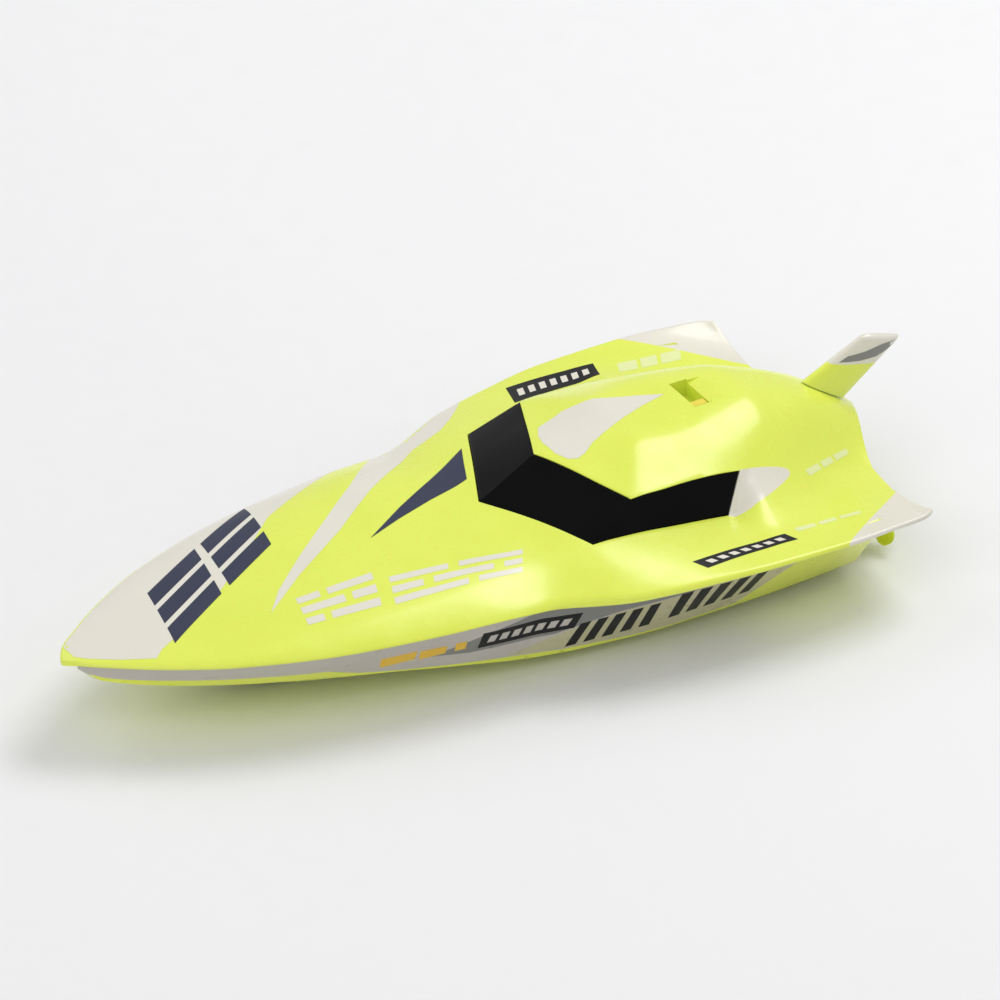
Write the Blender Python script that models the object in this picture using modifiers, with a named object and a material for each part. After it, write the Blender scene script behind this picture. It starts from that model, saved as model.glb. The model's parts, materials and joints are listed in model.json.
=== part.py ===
"""Twin-motor toy speed boat.

The frame has +X to the bow, +Y to port and +Z up. The origin is under the middle of the
boat, on the plane of the flat keel pad. Lengths in the tables are in millimetres, with
each station measured aft from the tip of the bow.
"""

import math

import bmesh
import bpy
from mathutils import Matrix, Vector

MM = 0.001
LENGTH = 250.0
BOW = LENGTH / 2
GAP = 0.3

# Deck plan: station aft of the bow tip, half-breadth of the deck.
DECK_EDGE = [
    (0.0, 2.0), (2.0, 4.6), (6.6, 7.9), (21.7, 18.4), (37.5, 26.7), (64.8, 35.8), (94.8, 41.4),
    (108.3, 43.4), (118.0, 42.8), (141.7, 51.6), (157.5, 55.0), (176.7, 57.5), (199.8, 58.1),
    (216.6, 56.6), (223.0, 55.6), (226.8, 53.6),
]
# Height of the deck edge over the keel pad.
EDGE_HEIGHT = [(0.0, 24.0), (60.0, 24.0), (118.0, 23.5), (150.0, 24.4), (177.0, 25.3), (200.0, 25.2), (227.0, 24.5)]
# How far the plain deck rises from its edge to the centreline; below zero it is dished.
DECK_CROWN = [
    (0.0, 0.0), (10.0, 0.8), (30.0, 2.3), (64.0, 4.3), (95.0, 6.0), (123.0, 7.2), (138.5, 9.0),
    (150.0, 7.2), (165.0, 3.6), (178.0, 1.2), (205.0, -2.5), (228.0, -5.6),
]
# Shape of that crown across the boat: 2 is an even curve, 5 is flat with a raised edge.
CROWN_POWER = [
    (0.0, 2.0), (20.0, 2.6), (60.0, 4.0), (100.0, 4.0), (122.0, 2.5), (138.0, 2.0), (178.0, 3.3),
    (226.0, 5.0),
]
# Cabin roof and tail along the centreline, and how wide they are.
ROOF_HEIGHT = [
    (123.2, 30.8), (139.6, 40.1), (155.0, 42.0), (170.0, 42.9), (186.5, 43.4), (197.0, 43.2),
    (207.0, 40.7), (219.6, 35.7), (228.0, 30.3), (235.0, 25.2),
]
ROOF_WIDTH = [
    (139.0, 52.0), (152.0, 47.0), (160.0, 38.5), (171.0, 34.5), (188.0, 30.0), (207.0, 22.0),
    (224.0, 14.5), (235.0, 10.7),
]
# Shape of the roof across the boat: 1 is a ridge, and more is flat with steeper sides.
ROOF_POWER = [(139.0, 1.3), (152.0, 1.6), (160.0, 2.4), (171.0, 3.0), (180.0, 3.2), (235.0, 3.2)]
DECK_WALL = 1.6
LIP_DEPTH = 1.7

# Windscreen and side windows: wall, gap all round and how far they lie under the deck's face.
SCREEN_WALL = 0.8
SCREEN_GAP = 0.9
SCREEN_RECESS = 0.3

# Hull lines: chine half-breadth and height, keel height, gunwale half-breadth aft of the step.
CHINE_BREADTH = [
    (1.5, 1.0), (6.0, 4.2), (15.5, 10.5), (32.4, 18.0), (50.3, 24.0), (75.9, 30.0), (96.0, 32.5),
    (120.5, 35.6), (135.0, 37.2), (156.0, 39.2), (177.0, 39.2), (199.0, 38.3), (213.5, 37.0),
]
CHINE_HEIGHT = [
    (1.5, 19.0), (6.0, 17.8), (15.5, 16.5), (32.4, 14.7), (50.3, 13.1), (75.9, 10.7), (96.0, 7.5),
    (120.5, 4.3), (135.0, 3.6), (213.5, 3.6),
]
KEEL_HEIGHT = [(1.5, 18.6), (6.0, 16.6), (15.0, 13.0), (30.0, 8.0), (50.0, 2.6), (68.0, 0.0), (213.5, 0.0)]
PAD_BREADTH = [(1.5, 0.4), (30.0, 2.0), (68.0, 8.0), (100.0, 14.0), (213.5, 14.0)]
GUNWALE_BREADTH = [
    (118.0, 40.2), (141.7, 46.5), (157.5, 49.5), (176.7, 51.5), (200.0, 51.5), (213.5, 50.0),
]
HULL_STATIONS = [
    1.5, 4.0, 9.0, 15.5, 24.0, 34.0, 46.0, 58.0, 68.0, 82.0, 98.0, 110.0, 118.0, 128.0, 141.7,
    157.5, 177.0, 199.0, 213.5,
]
HULL_WALL = 1.8
HULL_DROP = 0.9

# Inner deck: a flat waterproof plate inside the hull.
PLATE_BOTTOM = 17.6
PLATE_TOP = 19.0
PLATE_STATIONS = [26.0, 34.0, 46.0, 60.0, 80.0, 100.0, 118.0, 141.7, 157.5, 177.0, 199.0, 211.2]
PLATE_SCREWS = [(52.0, 12.0), (124.0, 27.0), (204.0, 35.5)]

GASKET_STATIONS = [34.0, 46.0, 60.0, 80.0, 100.0, 118.0, 141.7, 157.5, 177.0, 196.0]

# Brass water contacts through the bottom.
CONTACT_STATION = 190.0
CONTACT_BREADTH = 18.0

# Battery bay and its door.
CELL_RADIUS = 5.2
CELL_LENGTH = 44.0
CELL_MIDDLE = (166.0, 9.2)
HATCH_BREADTH = 5.6
DOOR_LENGTH = 50.0
DOOR_EDGE = -6.6
KNOB_STATION = 138.6
KNOB_BREADTH = 3.6
DOOR_THICKNESS = 1.4
DOOR_LIFT = 0.9
HINGE_BREADTH = 8.6
HINGE_HEIGHT = 20.6
HINGE_LUGS = [("front", 143.6, HINGE_BREADTH), ("rear", 188.4, HINGE_BREADTH)]

# Drive line: the propeller's middle, the slope of the shaft, and sizes along it.
PROP_STATION = 226.0
PROP_BREADTH = 28.0
PROP_HEIGHT = 8.5
SHAFT_SLOPE = math.radians(2.5)
PROP_RADIUS = 8.0
BLADE_ANGLE = math.radians(45.0)
SHAFT_RADIUS = 0.9
MOTOR_RADIUS = 6.0
TUBE_RADIUS = 1.8

# Finger slot in the roof and the latch in it.
SLOT_STATION = 186.5
SLOT_ACROSS = 12.8
SLOT_ALONG = 5.2
SLOT_DEPTH = 4.8

# Tail fin: station and height of its four corners, and its thickness.
FIN_ROOT_FRONT = (220.4, 35.7)
FIN_ROOT_REAR = (232.4, 27.7)
FIN_TIP_FRONT = (238.7, 44.6)
FIN_TIP_REAR = (250.0, 40.9)
FIN_ROOT_THICKNESS = 4.6
FIN_TIP_THICKNESS = 3.0
FIN_SCREW_STATION = 226.6

COLOURS = {
    "shell_yellow": ((0.72, 0.90, 0.09, 1.0), 0.28, 0.0),
    "window_black": ((0.010, 0.010, 0.012, 1.0), 0.12, 0.0),
    "inner_grey": ((0.16, 0.17, 0.18, 1.0), 0.55, 0.0),
    "rubber_black": ((0.02, 0.02, 0.02, 1.0), 0.80, 0.0),
    "steel": ((0.62, 0.62, 0.63, 1.0), 0.30, 1.0),
    "brass": ((0.72, 0.50, 0.20, 1.0), 0.32, 1.0),
    "foam_white": ((0.85, 0.85, 0.83, 1.0), 0.90, 0.0),
    "board_green": ((0.02, 0.20, 0.07, 1.0), 0.45, 0.0),
    "cell_wrap": ((0.05, 0.16, 0.42, 1.0), 0.35, 0.0),
    "latch_pale": ((0.80, 0.80, 0.72, 1.0), 0.40, 0.0),
}


# ---- Scene helpers ----

def clear_scene():
    for item in list(bpy.data.objects):
        bpy.data.objects.remove(item, do_unlink=True)


def make_collection(name):
    collection = bpy.data.collections.new(name)
    bpy.context.scene.collection.children.link(collection)
    return collection


def make_material(name):
    colour, roughness, metallic = COLOURS[name]
    material = bpy.data.materials.new(name)
    material.use_nodes = True
    shader = material.node_tree.nodes["Principled BSDF"]
    shader.inputs["Base Color"].default_value = colour
    shader.inputs["Roughness"].default_value = roughness
    shader.inputs["Metallic"].default_value = metallic
    return material


def point(station, breadth, height):
    """Turns a station, half-breadth and height in millimetres into a place in metres."""
    return Vector((BOW - station, breadth, height)) * MM


def add_mesh(name, verts, faces, material=None, cutter=False, smooth=False):
    mesh = bpy.data.meshes.new(name)
    mesh.from_pydata([tuple(vert) for vert in verts], [], faces)
    mesh.validate()
    shape = bmesh.new()
    shape.from_mesh(mesh)
    bmesh.ops.remove_doubles(shape, verts=shape.verts, dist=1e-7)
    bmesh.ops.recalc_face_normals(shape, faces=shape.faces)
    shape.to_mesh(mesh)
    shape.free()
    item = bpy.data.objects.new(name, mesh)
    finish_object(item, material, cutter, smooth)
    return item


def finish_object(item, material, cutter, smooth):
    if cutter:
        CUTTERS.objects.link(item)
        item.hide_render = True
        item.display_type = "WIRE"
    else:
        PARTS.objects.link(item)
        item.data.materials.append(MATERIALS[material])
    if smooth:
        item.data.shade_smooth()
        item.data.set_sharp_from_angle(angle=math.radians(35))


def from_bmesh(name, shape, material, cutter=False, smooth=False):
    mesh = bpy.data.meshes.new(name)
    bmesh.ops.recalc_face_normals(shape, faces=shape.faces)
    shape.to_mesh(mesh)
    shape.free()
    item = bpy.data.objects.new(name, mesh)
    finish_object(item, material, cutter, smooth)
    return item


def box(name, low, high, material=None, bevel=0.0, cutter=False):
    """A box between two corners given as station, breadth and height."""
    first = point(*low)
    second = point(*high)
    middle = (first + second) / 2
    size = [abs(second[axis] - first[axis]) for axis in range(3)]
    shape = bmesh.new()
    bmesh.ops.create_cube(shape, size=1.0, matrix=Matrix.Diagonal((*size, 1.0)))
    item = from_bmesh(name, shape, material, cutter)
    item.location = middle
    if bevel:
        round_edges(item, bevel)
    return item


def round_edges(item, width, segments=2):
    bevel = item.modifiers.new("rounded edges", "BEVEL")
    bevel.width = width * MM
    bevel.segments = segments
    bevel.limit_method = "ANGLE"


def turned(name, profile, material=None, sides=24, cutter=False):
    """Turns a profile of (radius, height) pairs, top to bottom, about the local Z axis."""
    mesh = bpy.data.meshes.new(name)
    verts = [(radius * MM, 0.0, height * MM) for radius, height in profile]
    edges = [(step, step + 1) for step in range(len(verts) - 1)]
    mesh.from_pydata(verts, edges, [])
    item = bpy.data.objects.new(name, mesh)
    finish_object(item, material, cutter, False)
    screw = item.modifiers.new("turned", "SCREW")
    screw.steps = sides
    screw.render_steps = sides
    screw.use_merge_vertices = True
    screw.merge_threshold = 1e-6
    screw.use_smooth_shade = True
    return item


def rod(name, radius, length, material=None, sides=24, bore=0.0, cutter=False):
    """A round bar or tube along the local Z axis, from height 0 to its length."""
    profile = [(bore, length), (radius, length), (radius, 0.0), (bore, 0.0)]
    if bore:
        profile.append((bore, length))
    return turned(name, profile, material, sides, cutter)


def cut(item, cutter):
    change = item.modifiers.new("cut " + cutter.name, "BOOLEAN")
    change.operation = "DIFFERENCE"
    change.solver = "EXACT"
    change.object = cutter


def join(item, other):
    """Joins another shape to a part; the other shape is only a guide."""
    change = item.modifiers.new("join " + other.name, "BOOLEAN")
    change.operation = "UNION"
    change.solver = "EXACT"
    change.object = other


def empty(name, location, parent=None):
    item = bpy.data.objects.new(name, None)
    item.empty_display_size = 0.01
    PARTS.objects.link(item)
    item.location = location
    item.parent = parent
    return item


# ---- Hull and deck lines ----

def along(table, station):
    """Reads a table at a station as a smooth curve that never overshoots its points."""
    if station <= table[0][0]:
        return table[0][1]
    if station >= table[-1][0]:
        return table[-1][1]
    slopes = [(b[1] - a[1]) / (b[0] - a[0]) for a, b in zip(table, table[1:])]
    for index, (a, b) in enumerate(zip(table, table[1:])):
        if station <= b[0]:
            break
    start = knot_slope(slopes, index)
    end = knot_slope(slopes, index + 1)
    width = b[0] - a[0]
    t = (station - a[0]) / width
    near = (1 + 2 * t) * (1 - t) ** 2 * a[1] + t * (1 - t) ** 2 * width * start
    far = t * t * (3 - 2 * t) * b[1] + t * t * (t - 1) * width * end
    return near + far


def knot_slope(slopes, index):
    if index == 0:
        return slopes[0]
    if index == len(slopes):
        return slopes[-1]
    before, after = slopes[index - 1], slopes[index]
    if before * after <= 0:
        return 0.0
    return 2 * before * after / (before + after)


def plain_deck(station, breadth):
    """Height of the deck without its cabin."""
    edge = along(DECK_EDGE, min(station, 226.0))
    ratio = min(abs(breadth) / edge, 1.0)
    power = along(CROWN_POWER, station)
    return along(EDGE_HEIGHT, station) + along(DECK_CROWN, station) * (1 - ratio ** power)


def cabin_deck(station, breadth):
    """Height of the deck with the cabin roof and tail raised out of it."""
    rise = along(ROOF_HEIGHT, station) - plain_deck(station, 0.0)
    spread = math.exp(-((abs(breadth) / along(ROOF_WIDTH, station)) ** along(ROOF_POWER, station)))
    return plain_deck(station, breadth) + rise * spread


def gunwale_breadth(station):
    if station < 118.0:
        return max(along(DECK_EDGE, station) - 2.6, 0.5 * along(DECK_EDGE, station))
    return along(GUNWALE_BREADTH, station)


def hull_breadth(station, height):
    """Half-breadth of the hull's outer side at a height between chine and gunwale."""
    low = along(CHINE_HEIGHT, station)
    share = (height - low) / (22.0 - low)
    inner = along(CHINE_BREADTH, station)
    return inner + (gunwale_breadth(station) - inner) * share


# ---- Upper deck ----

# Rows across the deck: station at the centreline, at the window's top line, at its bottom
# line and at the deck edge; then the half-breadths of the two window lines.
BOW_ROWS = [0.0, 2.0, 6.0, 12.0, 20.0, 31.0, 45.0, 62.0, 80.0]
CABIN_ROWS = [
    (94.0, 98.0, 99.0, 98.0, 22.5, 26.5),
    (108.0, 116.0, 117.5, 110.0, 24.5, 29.5),
    (116.0, 126.5, 128.5, 118.0, 25.5, 30.5),
    (123.2, 135.9, 138.5, 130.0, 26.0, 31.2),
    (139.6, 152.0, 154.0, 145.0, 27.5, 31.8),
    (152.0, 160.5, 162.0, 158.0, 27.5, 32.1),
    (165.0, 169.0, 170.0, 168.0, 27.3, 32.3),
    (178.0, 178.5, 175.0, 174.0, 27.1, 32.4),
    (186.0, 185.0, 178.2, 177.5, 27.0, 32.5),
    (191.5, 191.0, 188.0, 186.0, 26.0, 32.8),
    (198.0, 197.5, 196.0, 195.0, 25.0, 33.2),
    (205.0, 204.5, 203.5, 203.0, 24.2, 33.6),
    (212.0, 211.0, 210.5, 210.0, 23.4, 34.0),
    (218.5, 217.5, 216.5, 216.6, 22.8, 34.2),
    (226.5, 223.5, 222.0, 222.5, 22.3, 34.4),
    (235.0, 228.0, 226.3, 226.4, 22.0, 34.6),
]
SCREEN_ROW = len(BOW_ROWS) + 3
WINDOW_REAR_ROW = len(BOW_ROWS) + 8
ROOF_COLUMNS = 5
SIDE_COLUMNS = 4


def deck_rows():
    rows = []
    for station in BOW_ROWS:
        edge = along(DECK_EDGE, station)
        rows.append((station, station, station, station, 0.55 * edge, 0.66 * edge))
    return rows + CABIN_ROWS


def deck_row_points(index, row):
    """Outer and inner points of one row, from the centreline out to the bottom of the lip."""
    centre, top_line, bottom_line, edge_station, top_breadth, bottom_breadth = row
    edge = along(DECK_EDGE, edge_station)
    size = min(1.0, edge / 9.0)
    spots = []
    for column in range(ROOF_COLUMNS):
        share = column / ROOF_COLUMNS
        spots.append((centre + (top_line - centre) * share, top_breadth * share))
    spots.append((top_line, top_breadth))
    for column in range(SIDE_COLUMNS + 1):
        share = column / SIDE_COLUMNS
        outer = edge - 1.0 * size
        breadth = bottom_breadth + (outer - bottom_breadth) * share
        spots.append((bottom_line + (edge_station - bottom_line) * share, breadth))
    outer = []
    inner = []
    narrowing = (edge - 2.3 * size) / (edge - 1.0 * size)
    for column, (station, breadth) in enumerate(spots):
        height = deck_height(index, column, station, breadth)
        outer.append(point(station, breadth, height))
        inner.append(point(station, breadth * narrowing, height - DECK_WALL))
    rim = plain_deck(edge_station, edge)
    for inset, drop, thickness in [(0.25, 0.45, 2.0), (0.0, 1.0, 1.8), (0.2, LIP_DEPTH, 1.6)]:
        outer.append(point(edge_station, edge - inset * size, rim - drop))
        low = max(drop, DECK_WALL + 0.2 + 0.1 * drop)
        inner.append(point(edge_station, edge - (inset + thickness) * size, rim - low))
    return outer, inner


def deck_height(index, column, station, breadth):
    on_roof = index > SCREEN_ROW and column <= ROOF_COLUMNS
    behind_window = index > WINDOW_REAR_ROW
    if on_roof or behind_window:
        return cabin_deck(station, breadth)
    return plain_deck(station, breadth)


def is_window(row, column):
    """True for the cells that the windscreen and side windows fill."""
    front = row == SCREEN_ROW and column <= ROOF_COLUMNS
    side = SCREEN_ROW < row < WINDOW_REAR_ROW and column == ROOF_COLUMNS
    return front or side


def make_upper_deck():
    rows = [deck_row_points(index, row) for index, row in enumerate(deck_rows())]
    wide = len(rows[0][0])
    verts = []
    for outer, inner in rows:
        verts += outer + inner
    faces = []
    borders = {}
    for row in range(len(rows) - 1):
        for column in range(wide - 1):
            if is_window(row, column):
                continue
            first = 2 * wide * row + column
            corners = [first, first + 1, first + 2 * wide + 1, first + 2 * wide]
            faces.append(corners)
            faces.append([corner + wide for corner in reversed(corners)])
            for start, end in zip(corners, corners[1:] + corners[:1]):
                if (end, start) in borders:
                    del borders[(end, start)]
                else:
                    borders[(start, end)] = True
    for start, end in borders:
        on_centreline = start % (2 * wide) == 0 and end % (2 * wide) == 0
        if not on_centreline:
            faces.append([end, start, start + wide, end + wide])
    deck = add_half("upper_deck", verts, faces, "shell_yellow")
    add_slot_pocket(deck)
    hole = rod("fin_screw_hole", 1.25, 14.0, cutter=True, sides=16)
    hole.location = point(FIN_SCREW_STATION, 0.0, 24.0)
    cut(deck, hole)
    return deck


def add_half(name, verts, faces, material):
    """A part whose port half is given, open on the centreline, and mirrored."""
    item = add_mesh(name, verts, faces, material, smooth=True)
    shape = bmesh.new()
    shape.from_mesh(item.data)
    for vert in shape.verts:
        if abs(vert.co.y) < 1e-6:
            vert.co.y = 0.0
    shape.to_mesh(item.data)
    shape.free()
    mirror = item.modifiers.new("both sides", "MIRROR")
    mirror.use_axis = (False, True, False)
    mirror.use_clip = True
    mirror.merge_threshold = 1e-6
    return item


def add_slot_pocket(deck):
    """The finger slot is a pocket hung under the roof, with a slit for the latch."""
    roof = along(ROOF_HEIGHT, SLOT_STATION)
    floor = roof - SLOT_DEPTH
    half_along = SLOT_ALONG / 2
    half_across = SLOT_ACROSS / 2
    low = (SLOT_STATION - half_along - 1.5, -half_across - 1.5, floor - 1.2)
    high = (SLOT_STATION + half_along + 1.5, half_across + 1.5, roof - 0.9)
    join(deck, box("slot_pocket", low, high, cutter=True))
    low = (SLOT_STATION - half_along, -half_across, floor)
    high = (SLOT_STATION + half_along, half_across, roof + 3.0)
    cut(deck, box("slot_opening", low, high, cutter=True))
    low = (SLOT_STATION - 1.5, -0.6, floor - 3.0)
    high = (SLOT_STATION + 1.5, 5.0, floor + 1.0)
    cut(deck, box("latch_slit", low, high, cutter=True))


# ---- Windscreen, fin and latch ----

def make_windscreen():
    """One black moulding that fills the window cells of the deck, with a centre ridge."""
    rows = [deck_row_points(index, row)[0] for index, row in enumerate(deck_rows())]
    shape = bmesh.new()
    places = {}

    def corner(row, column, side):
        spot = rows[row][column]
        key = (row, column, side if spot.y > 1e-6 else 1)
        if key not in places:
            places[key] = shape.verts.new((spot.x, spot.y * side, spot.z))
        return places[key]

    for side in (1, -1):
        for row in range(SCREEN_ROW, WINDOW_REAR_ROW):
            for column in range(ROOF_COLUMNS + 1):
                if is_window(row, column):
                    add_window_cell(shape, corner, row, column, side)
    bmesh.ops.recalc_face_normals(shape, faces=shape.faces)
    turn_outwards(shape)
    trim = bmesh.ops.inset_region(
        shape, faces=shape.faces[:], thickness=SCREEN_GAP * MM, depth=-SCREEN_RECESS * MM,
        use_boundary=True, use_even_offset=True,
    )
    bmesh.ops.delete(shape, geom=trim["faces"], context="FACES")
    mesh = bpy.data.meshes.new("windscreen")
    shape.to_mesh(mesh)
    shape.free()
    screen = bpy.data.objects.new("windscreen", mesh)
    finish_object(screen, "window_black", False, False)
    thicken(screen, SCREEN_WALL)
    return screen


def add_window_cell(shape, corner, row, column, side):
    """One cell of window; the corner post cell is split along the post."""
    near = corner(row, column, side)
    out = corner(row, column + 1, side)
    far = corner(row + 1, column, side)
    far_out = corner(row + 1, column + 1, side)
    if row == SCREEN_ROW and column == ROOF_COLUMNS:
        shape.faces.new((near, out, far))
        shape.faces.new((out, far_out, far))
    else:
        shape.faces.new((near, out, far_out, far))


def turn_outwards(shape):
    """Makes an open surface's faces point up and out."""
    if sum(face.normal.z for face in shape.faces) < 0:
        bmesh.ops.reverse_faces(shape, faces=shape.faces[:])


def thicken(item, wall):
    solid = item.modifiers.new("wall", "SOLIDIFY")
    solid.thickness = wall * MM
    solid.offset = -1.0
    solid.use_even_offset = True


def fin_section(front, rear, thickness):
    """A rounded outline between a leading and a trailing corner."""
    middle = ((front[0] + rear[0]) / 2, (front[1] + rear[1]) / 2)
    reach = ((front[0] - rear[0]) / 2, (front[1] - rear[1]) / 2)
    ring = []
    for step in range(16):
        angle = 2 * math.pi * step / 16
        lengthwise = math.cos(angle)
        across = math.sin(angle)
        lengthwise = math.copysign(abs(lengthwise) ** 0.7, lengthwise)
        across = math.copysign(abs(across) ** 0.8, across)
        station = middle[0] + reach[0] * lengthwise
        height = middle[1] + reach[1] * lengthwise
        ring.append(point(station, across * thickness / 2, height))
    return ring


def between(first, second, share):
    return tuple(a + (b - a) * share for a, b in zip(first, second))


def make_tail_fin():
    rings = []
    for share in (0.0, 0.2, 0.4, 0.6, 0.8, 0.93, 1.0):
        front = between(FIN_ROOT_FRONT, FIN_TIP_FRONT, share)
        rear = between(FIN_ROOT_REAR, FIN_TIP_REAR, share)
        thickness = FIN_ROOT_THICKNESS + (FIN_TIP_THICKNESS - FIN_ROOT_THICKNESS) * share
        if share == 1.0:
            front, rear = between(front, rear, 0.12), between(rear, front, 0.08)
            thickness *= 0.55
        rings.append(fin_section(front, rear, thickness))
    fin = loft("tail_fin", rings, "shell_yellow")
    hole = rod("fin_pilot_hole", 1.15, 14.0, cutter=True, sides=16)
    hole.location = point(FIN_SCREW_STATION, 0.0, 22.6)
    cut(fin, hole)
    screw = make_screw("fin_screw", 0.8, 9.8, 1.8)
    screw.location = point(FIN_SCREW_STATION, 0.0, 26.0)


def loft(name, rings, material=None, cutter=False, smooth=True):
    """A closed solid through rings of the same number of points."""
    count = len(rings[0])
    verts = [vert for ring in rings for vert in ring]
    faces = []
    for row in range(len(rings) - 1):
        for step in range(count):
            after = (step + 1) % count
            faces.append([
                row * count + step, row * count + after,
                (row + 1) * count + after, (row + 1) * count + step,
            ])
    faces.append(list(range(count)))
    faces.append([len(verts) - count + step for step in reversed(range(count))])
    return add_mesh(name, verts, faces, material, cutter, smooth)


def make_screw(name, radius, length, head_radius):
    """A pan-head screw that points up, with its head at the bottom and a driver recess."""
    profile = [
        (0.0, length), (radius * 0.5, length - 0.2), (radius, length - 0.9), (radius, 1.2),
        (head_radius, 1.2), (head_radius, 0.5), (head_radius * 0.75, 0.0),
        (head_radius * 0.35, 0.0), (head_radius * 0.3, 0.5), (0.0, 0.5),
    ]
    return turned(name, profile, "steel", sides=16)


def make_latch():
    """A sliding thumb tab in the finger slot, with an arm that reaches the catch post."""
    floor = along(ROOF_HEIGHT, SLOT_STATION) - SLOT_DEPTH
    pivot = empty("cover_latch_slide", point(SLOT_STATION, 3.6, floor))
    low = (SLOT_STATION - 2.2, 2.4, floor + GAP)
    high = (SLOT_STATION + 2.2, 4.8, floor + 3.6)
    latch = box("cover_latch", low, high, "latch_pale")
    low = (SLOT_STATION - 1.1, 2.9, floor - 2.2)
    high = (SLOT_STATION + 1.1, 4.3, floor + 1.0)
    join(latch, box("latch_stem", low, high, cutter=True))
    low = (SLOT_STATION - 2.2, 1.6, floor - 2.6)
    high = (SLOT_STATION + 8.5, 5.2, floor - 1.5)
    join(latch, box("latch_arm", low, high, cutter=True))
    low = (SLOT_STATION + 7.0, 3.6, floor - 7.0)
    high = (SLOT_STATION + 8.5, 5.2, floor - 2.0)
    join(latch, box("latch_hook", low, high, cutter=True))
    keep_place(latch, pivot)
    return pivot


def keep_place(item, parent):
    """Parents an object to an empty without moving it."""
    item.parent = parent
    item.matrix_parent_inverse = Matrix.Translation(parent.location).inverted()


def make_latch_spring():
    """A bent leaf spring beside the latch arm, fixed under the roof."""
    floor = along(ROOF_HEIGHT, SLOT_STATION) - SLOT_DEPTH
    rings = []
    for step in range(9):
        share = step / 8
        station = SLOT_STATION - 1.6 + 8.0 * share
        bow = 5.7 + 1.1 * math.sin(math.pi * share)
        low, high = floor - 3.4, floor - 1.8
        rings.append([
            point(station, bow, low), point(station, bow + 0.3, low),
            point(station, bow + 0.3, high), point(station, bow, high),
        ])
    loft("latch_spring", rings, "steel", smooth=False)


# ---- Lower hull ----

def hull_ring(station, inset, top):
    """Closed outline of the hull at a station, drawn in by the inset."""
    keel = along(KEEL_HEIGHT, station) + inset
    pad = along(PAD_BREADTH, station)
    chine = along(CHINE_BREADTH, station) - inset * 1.05
    chine_height = along(CHINE_HEIGHT, station) + inset * 0.75
    gunwale = gunwale_breadth(station) - inset * 1.05
    side = [(pad, keel), (chine, chine_height)]
    for share in (0.35, 1.0):
        height = chine_height + (21.0 - chine_height) * share
        side.append((chine + (gunwale - chine) * share, height))
    if top is not None:
        side.append((gunwale, top))
    else:
        for share in (1.0, 0.8, 0.55, 0.3):
            breadth = gunwale * share
            side.append((breadth, plain_deck(station, breadth) - DECK_WALL - HULL_DROP))
    port = [point(station, breadth, height) for breadth, height in side]
    starboard = [point(station, -breadth, height) for breadth, height in reversed(side)]
    return port + starboard


def make_lower_hull():
    rings = [hull_ring(station, 0.0, None) for station in HULL_STATIONS]
    hull = loft("lower_hull", rings, "shell_yellow")
    inner_stations = [7.0] + HULL_STATIONS[2:-1] + [HULL_STATIONS[-1] - HULL_WALL]
    rings = [hull_ring(station, HULL_WALL, 60.0) for station in inner_stations]
    cut(hull, loft("hull_cavity", rings, cutter=True))
    for index, (station, breadth) in enumerate(PLATE_SCREWS):
        for side, sign in (("port", 1), ("starboard", -1)):
            bottom = hull_floor(station, breadth) - 0.4
            boss = rod(f"boss_{side}_{index}", 2.6, PLATE_BOTTOM - GAP - bottom, cutter=True, sides=16)
            boss.location = point(station, breadth * sign, bottom)
            join(hull, boss)
            pilot = rod(f"pilot_{side}_{index}", 1.2, 20.0, cutter=True, sides=12)
            pilot.location = point(station, breadth * sign, PLATE_BOTTOM - 5.0)
            cut(hull, pilot)
    for sign in (1, -1):
        hole = rod(f"tube_hole_{sign}", TUBE_RADIUS + GAP, 20.0, cutter=True, sides=24)
        place_on_shaft(hole, sign, 4.0)
        cut(hull, hole)
        pin_hole = rod(f"contact_hole_{sign}", 1.3, 12.0, cutter=True, sides=12)
        pin_hole.location = point(CONTACT_STATION, CONTACT_BREADTH * sign, -4.0)
        cut(hull, pin_hole)
    return hull


def hull_floor(station, breadth):
    """Height of the inside of the bottom at a station and breadth."""
    pad = along(PAD_BREADTH, station)
    chine = along(CHINE_BREADTH, station)
    share = max(0.0, (breadth - pad) / (chine - pad))
    keel = along(KEEL_HEIGHT, station)
    return keel + (along(CHINE_HEIGHT, station) - keel) * share + HULL_WALL


def make_water_contacts():
    """Two brass pins through the bottom that sense water."""
    for side, sign in (("port", 1), ("starboard", -1)):
        profile = [(0.0, 6.0), (1.0, 6.0), (1.0, 0.55), (0.85, 0.0), (0.0, 0.0)]
        pin = turned(f"water_contact_{side}", profile, "brass", sides=16)
        pin.location = point(CONTACT_STATION, CONTACT_BREADTH * sign, 0.25)


# ---- Inner deck, door and electrics ----

def plate_breadth(station):
    return hull_breadth(station, 18.3) - HULL_WALL - 0.9


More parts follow.
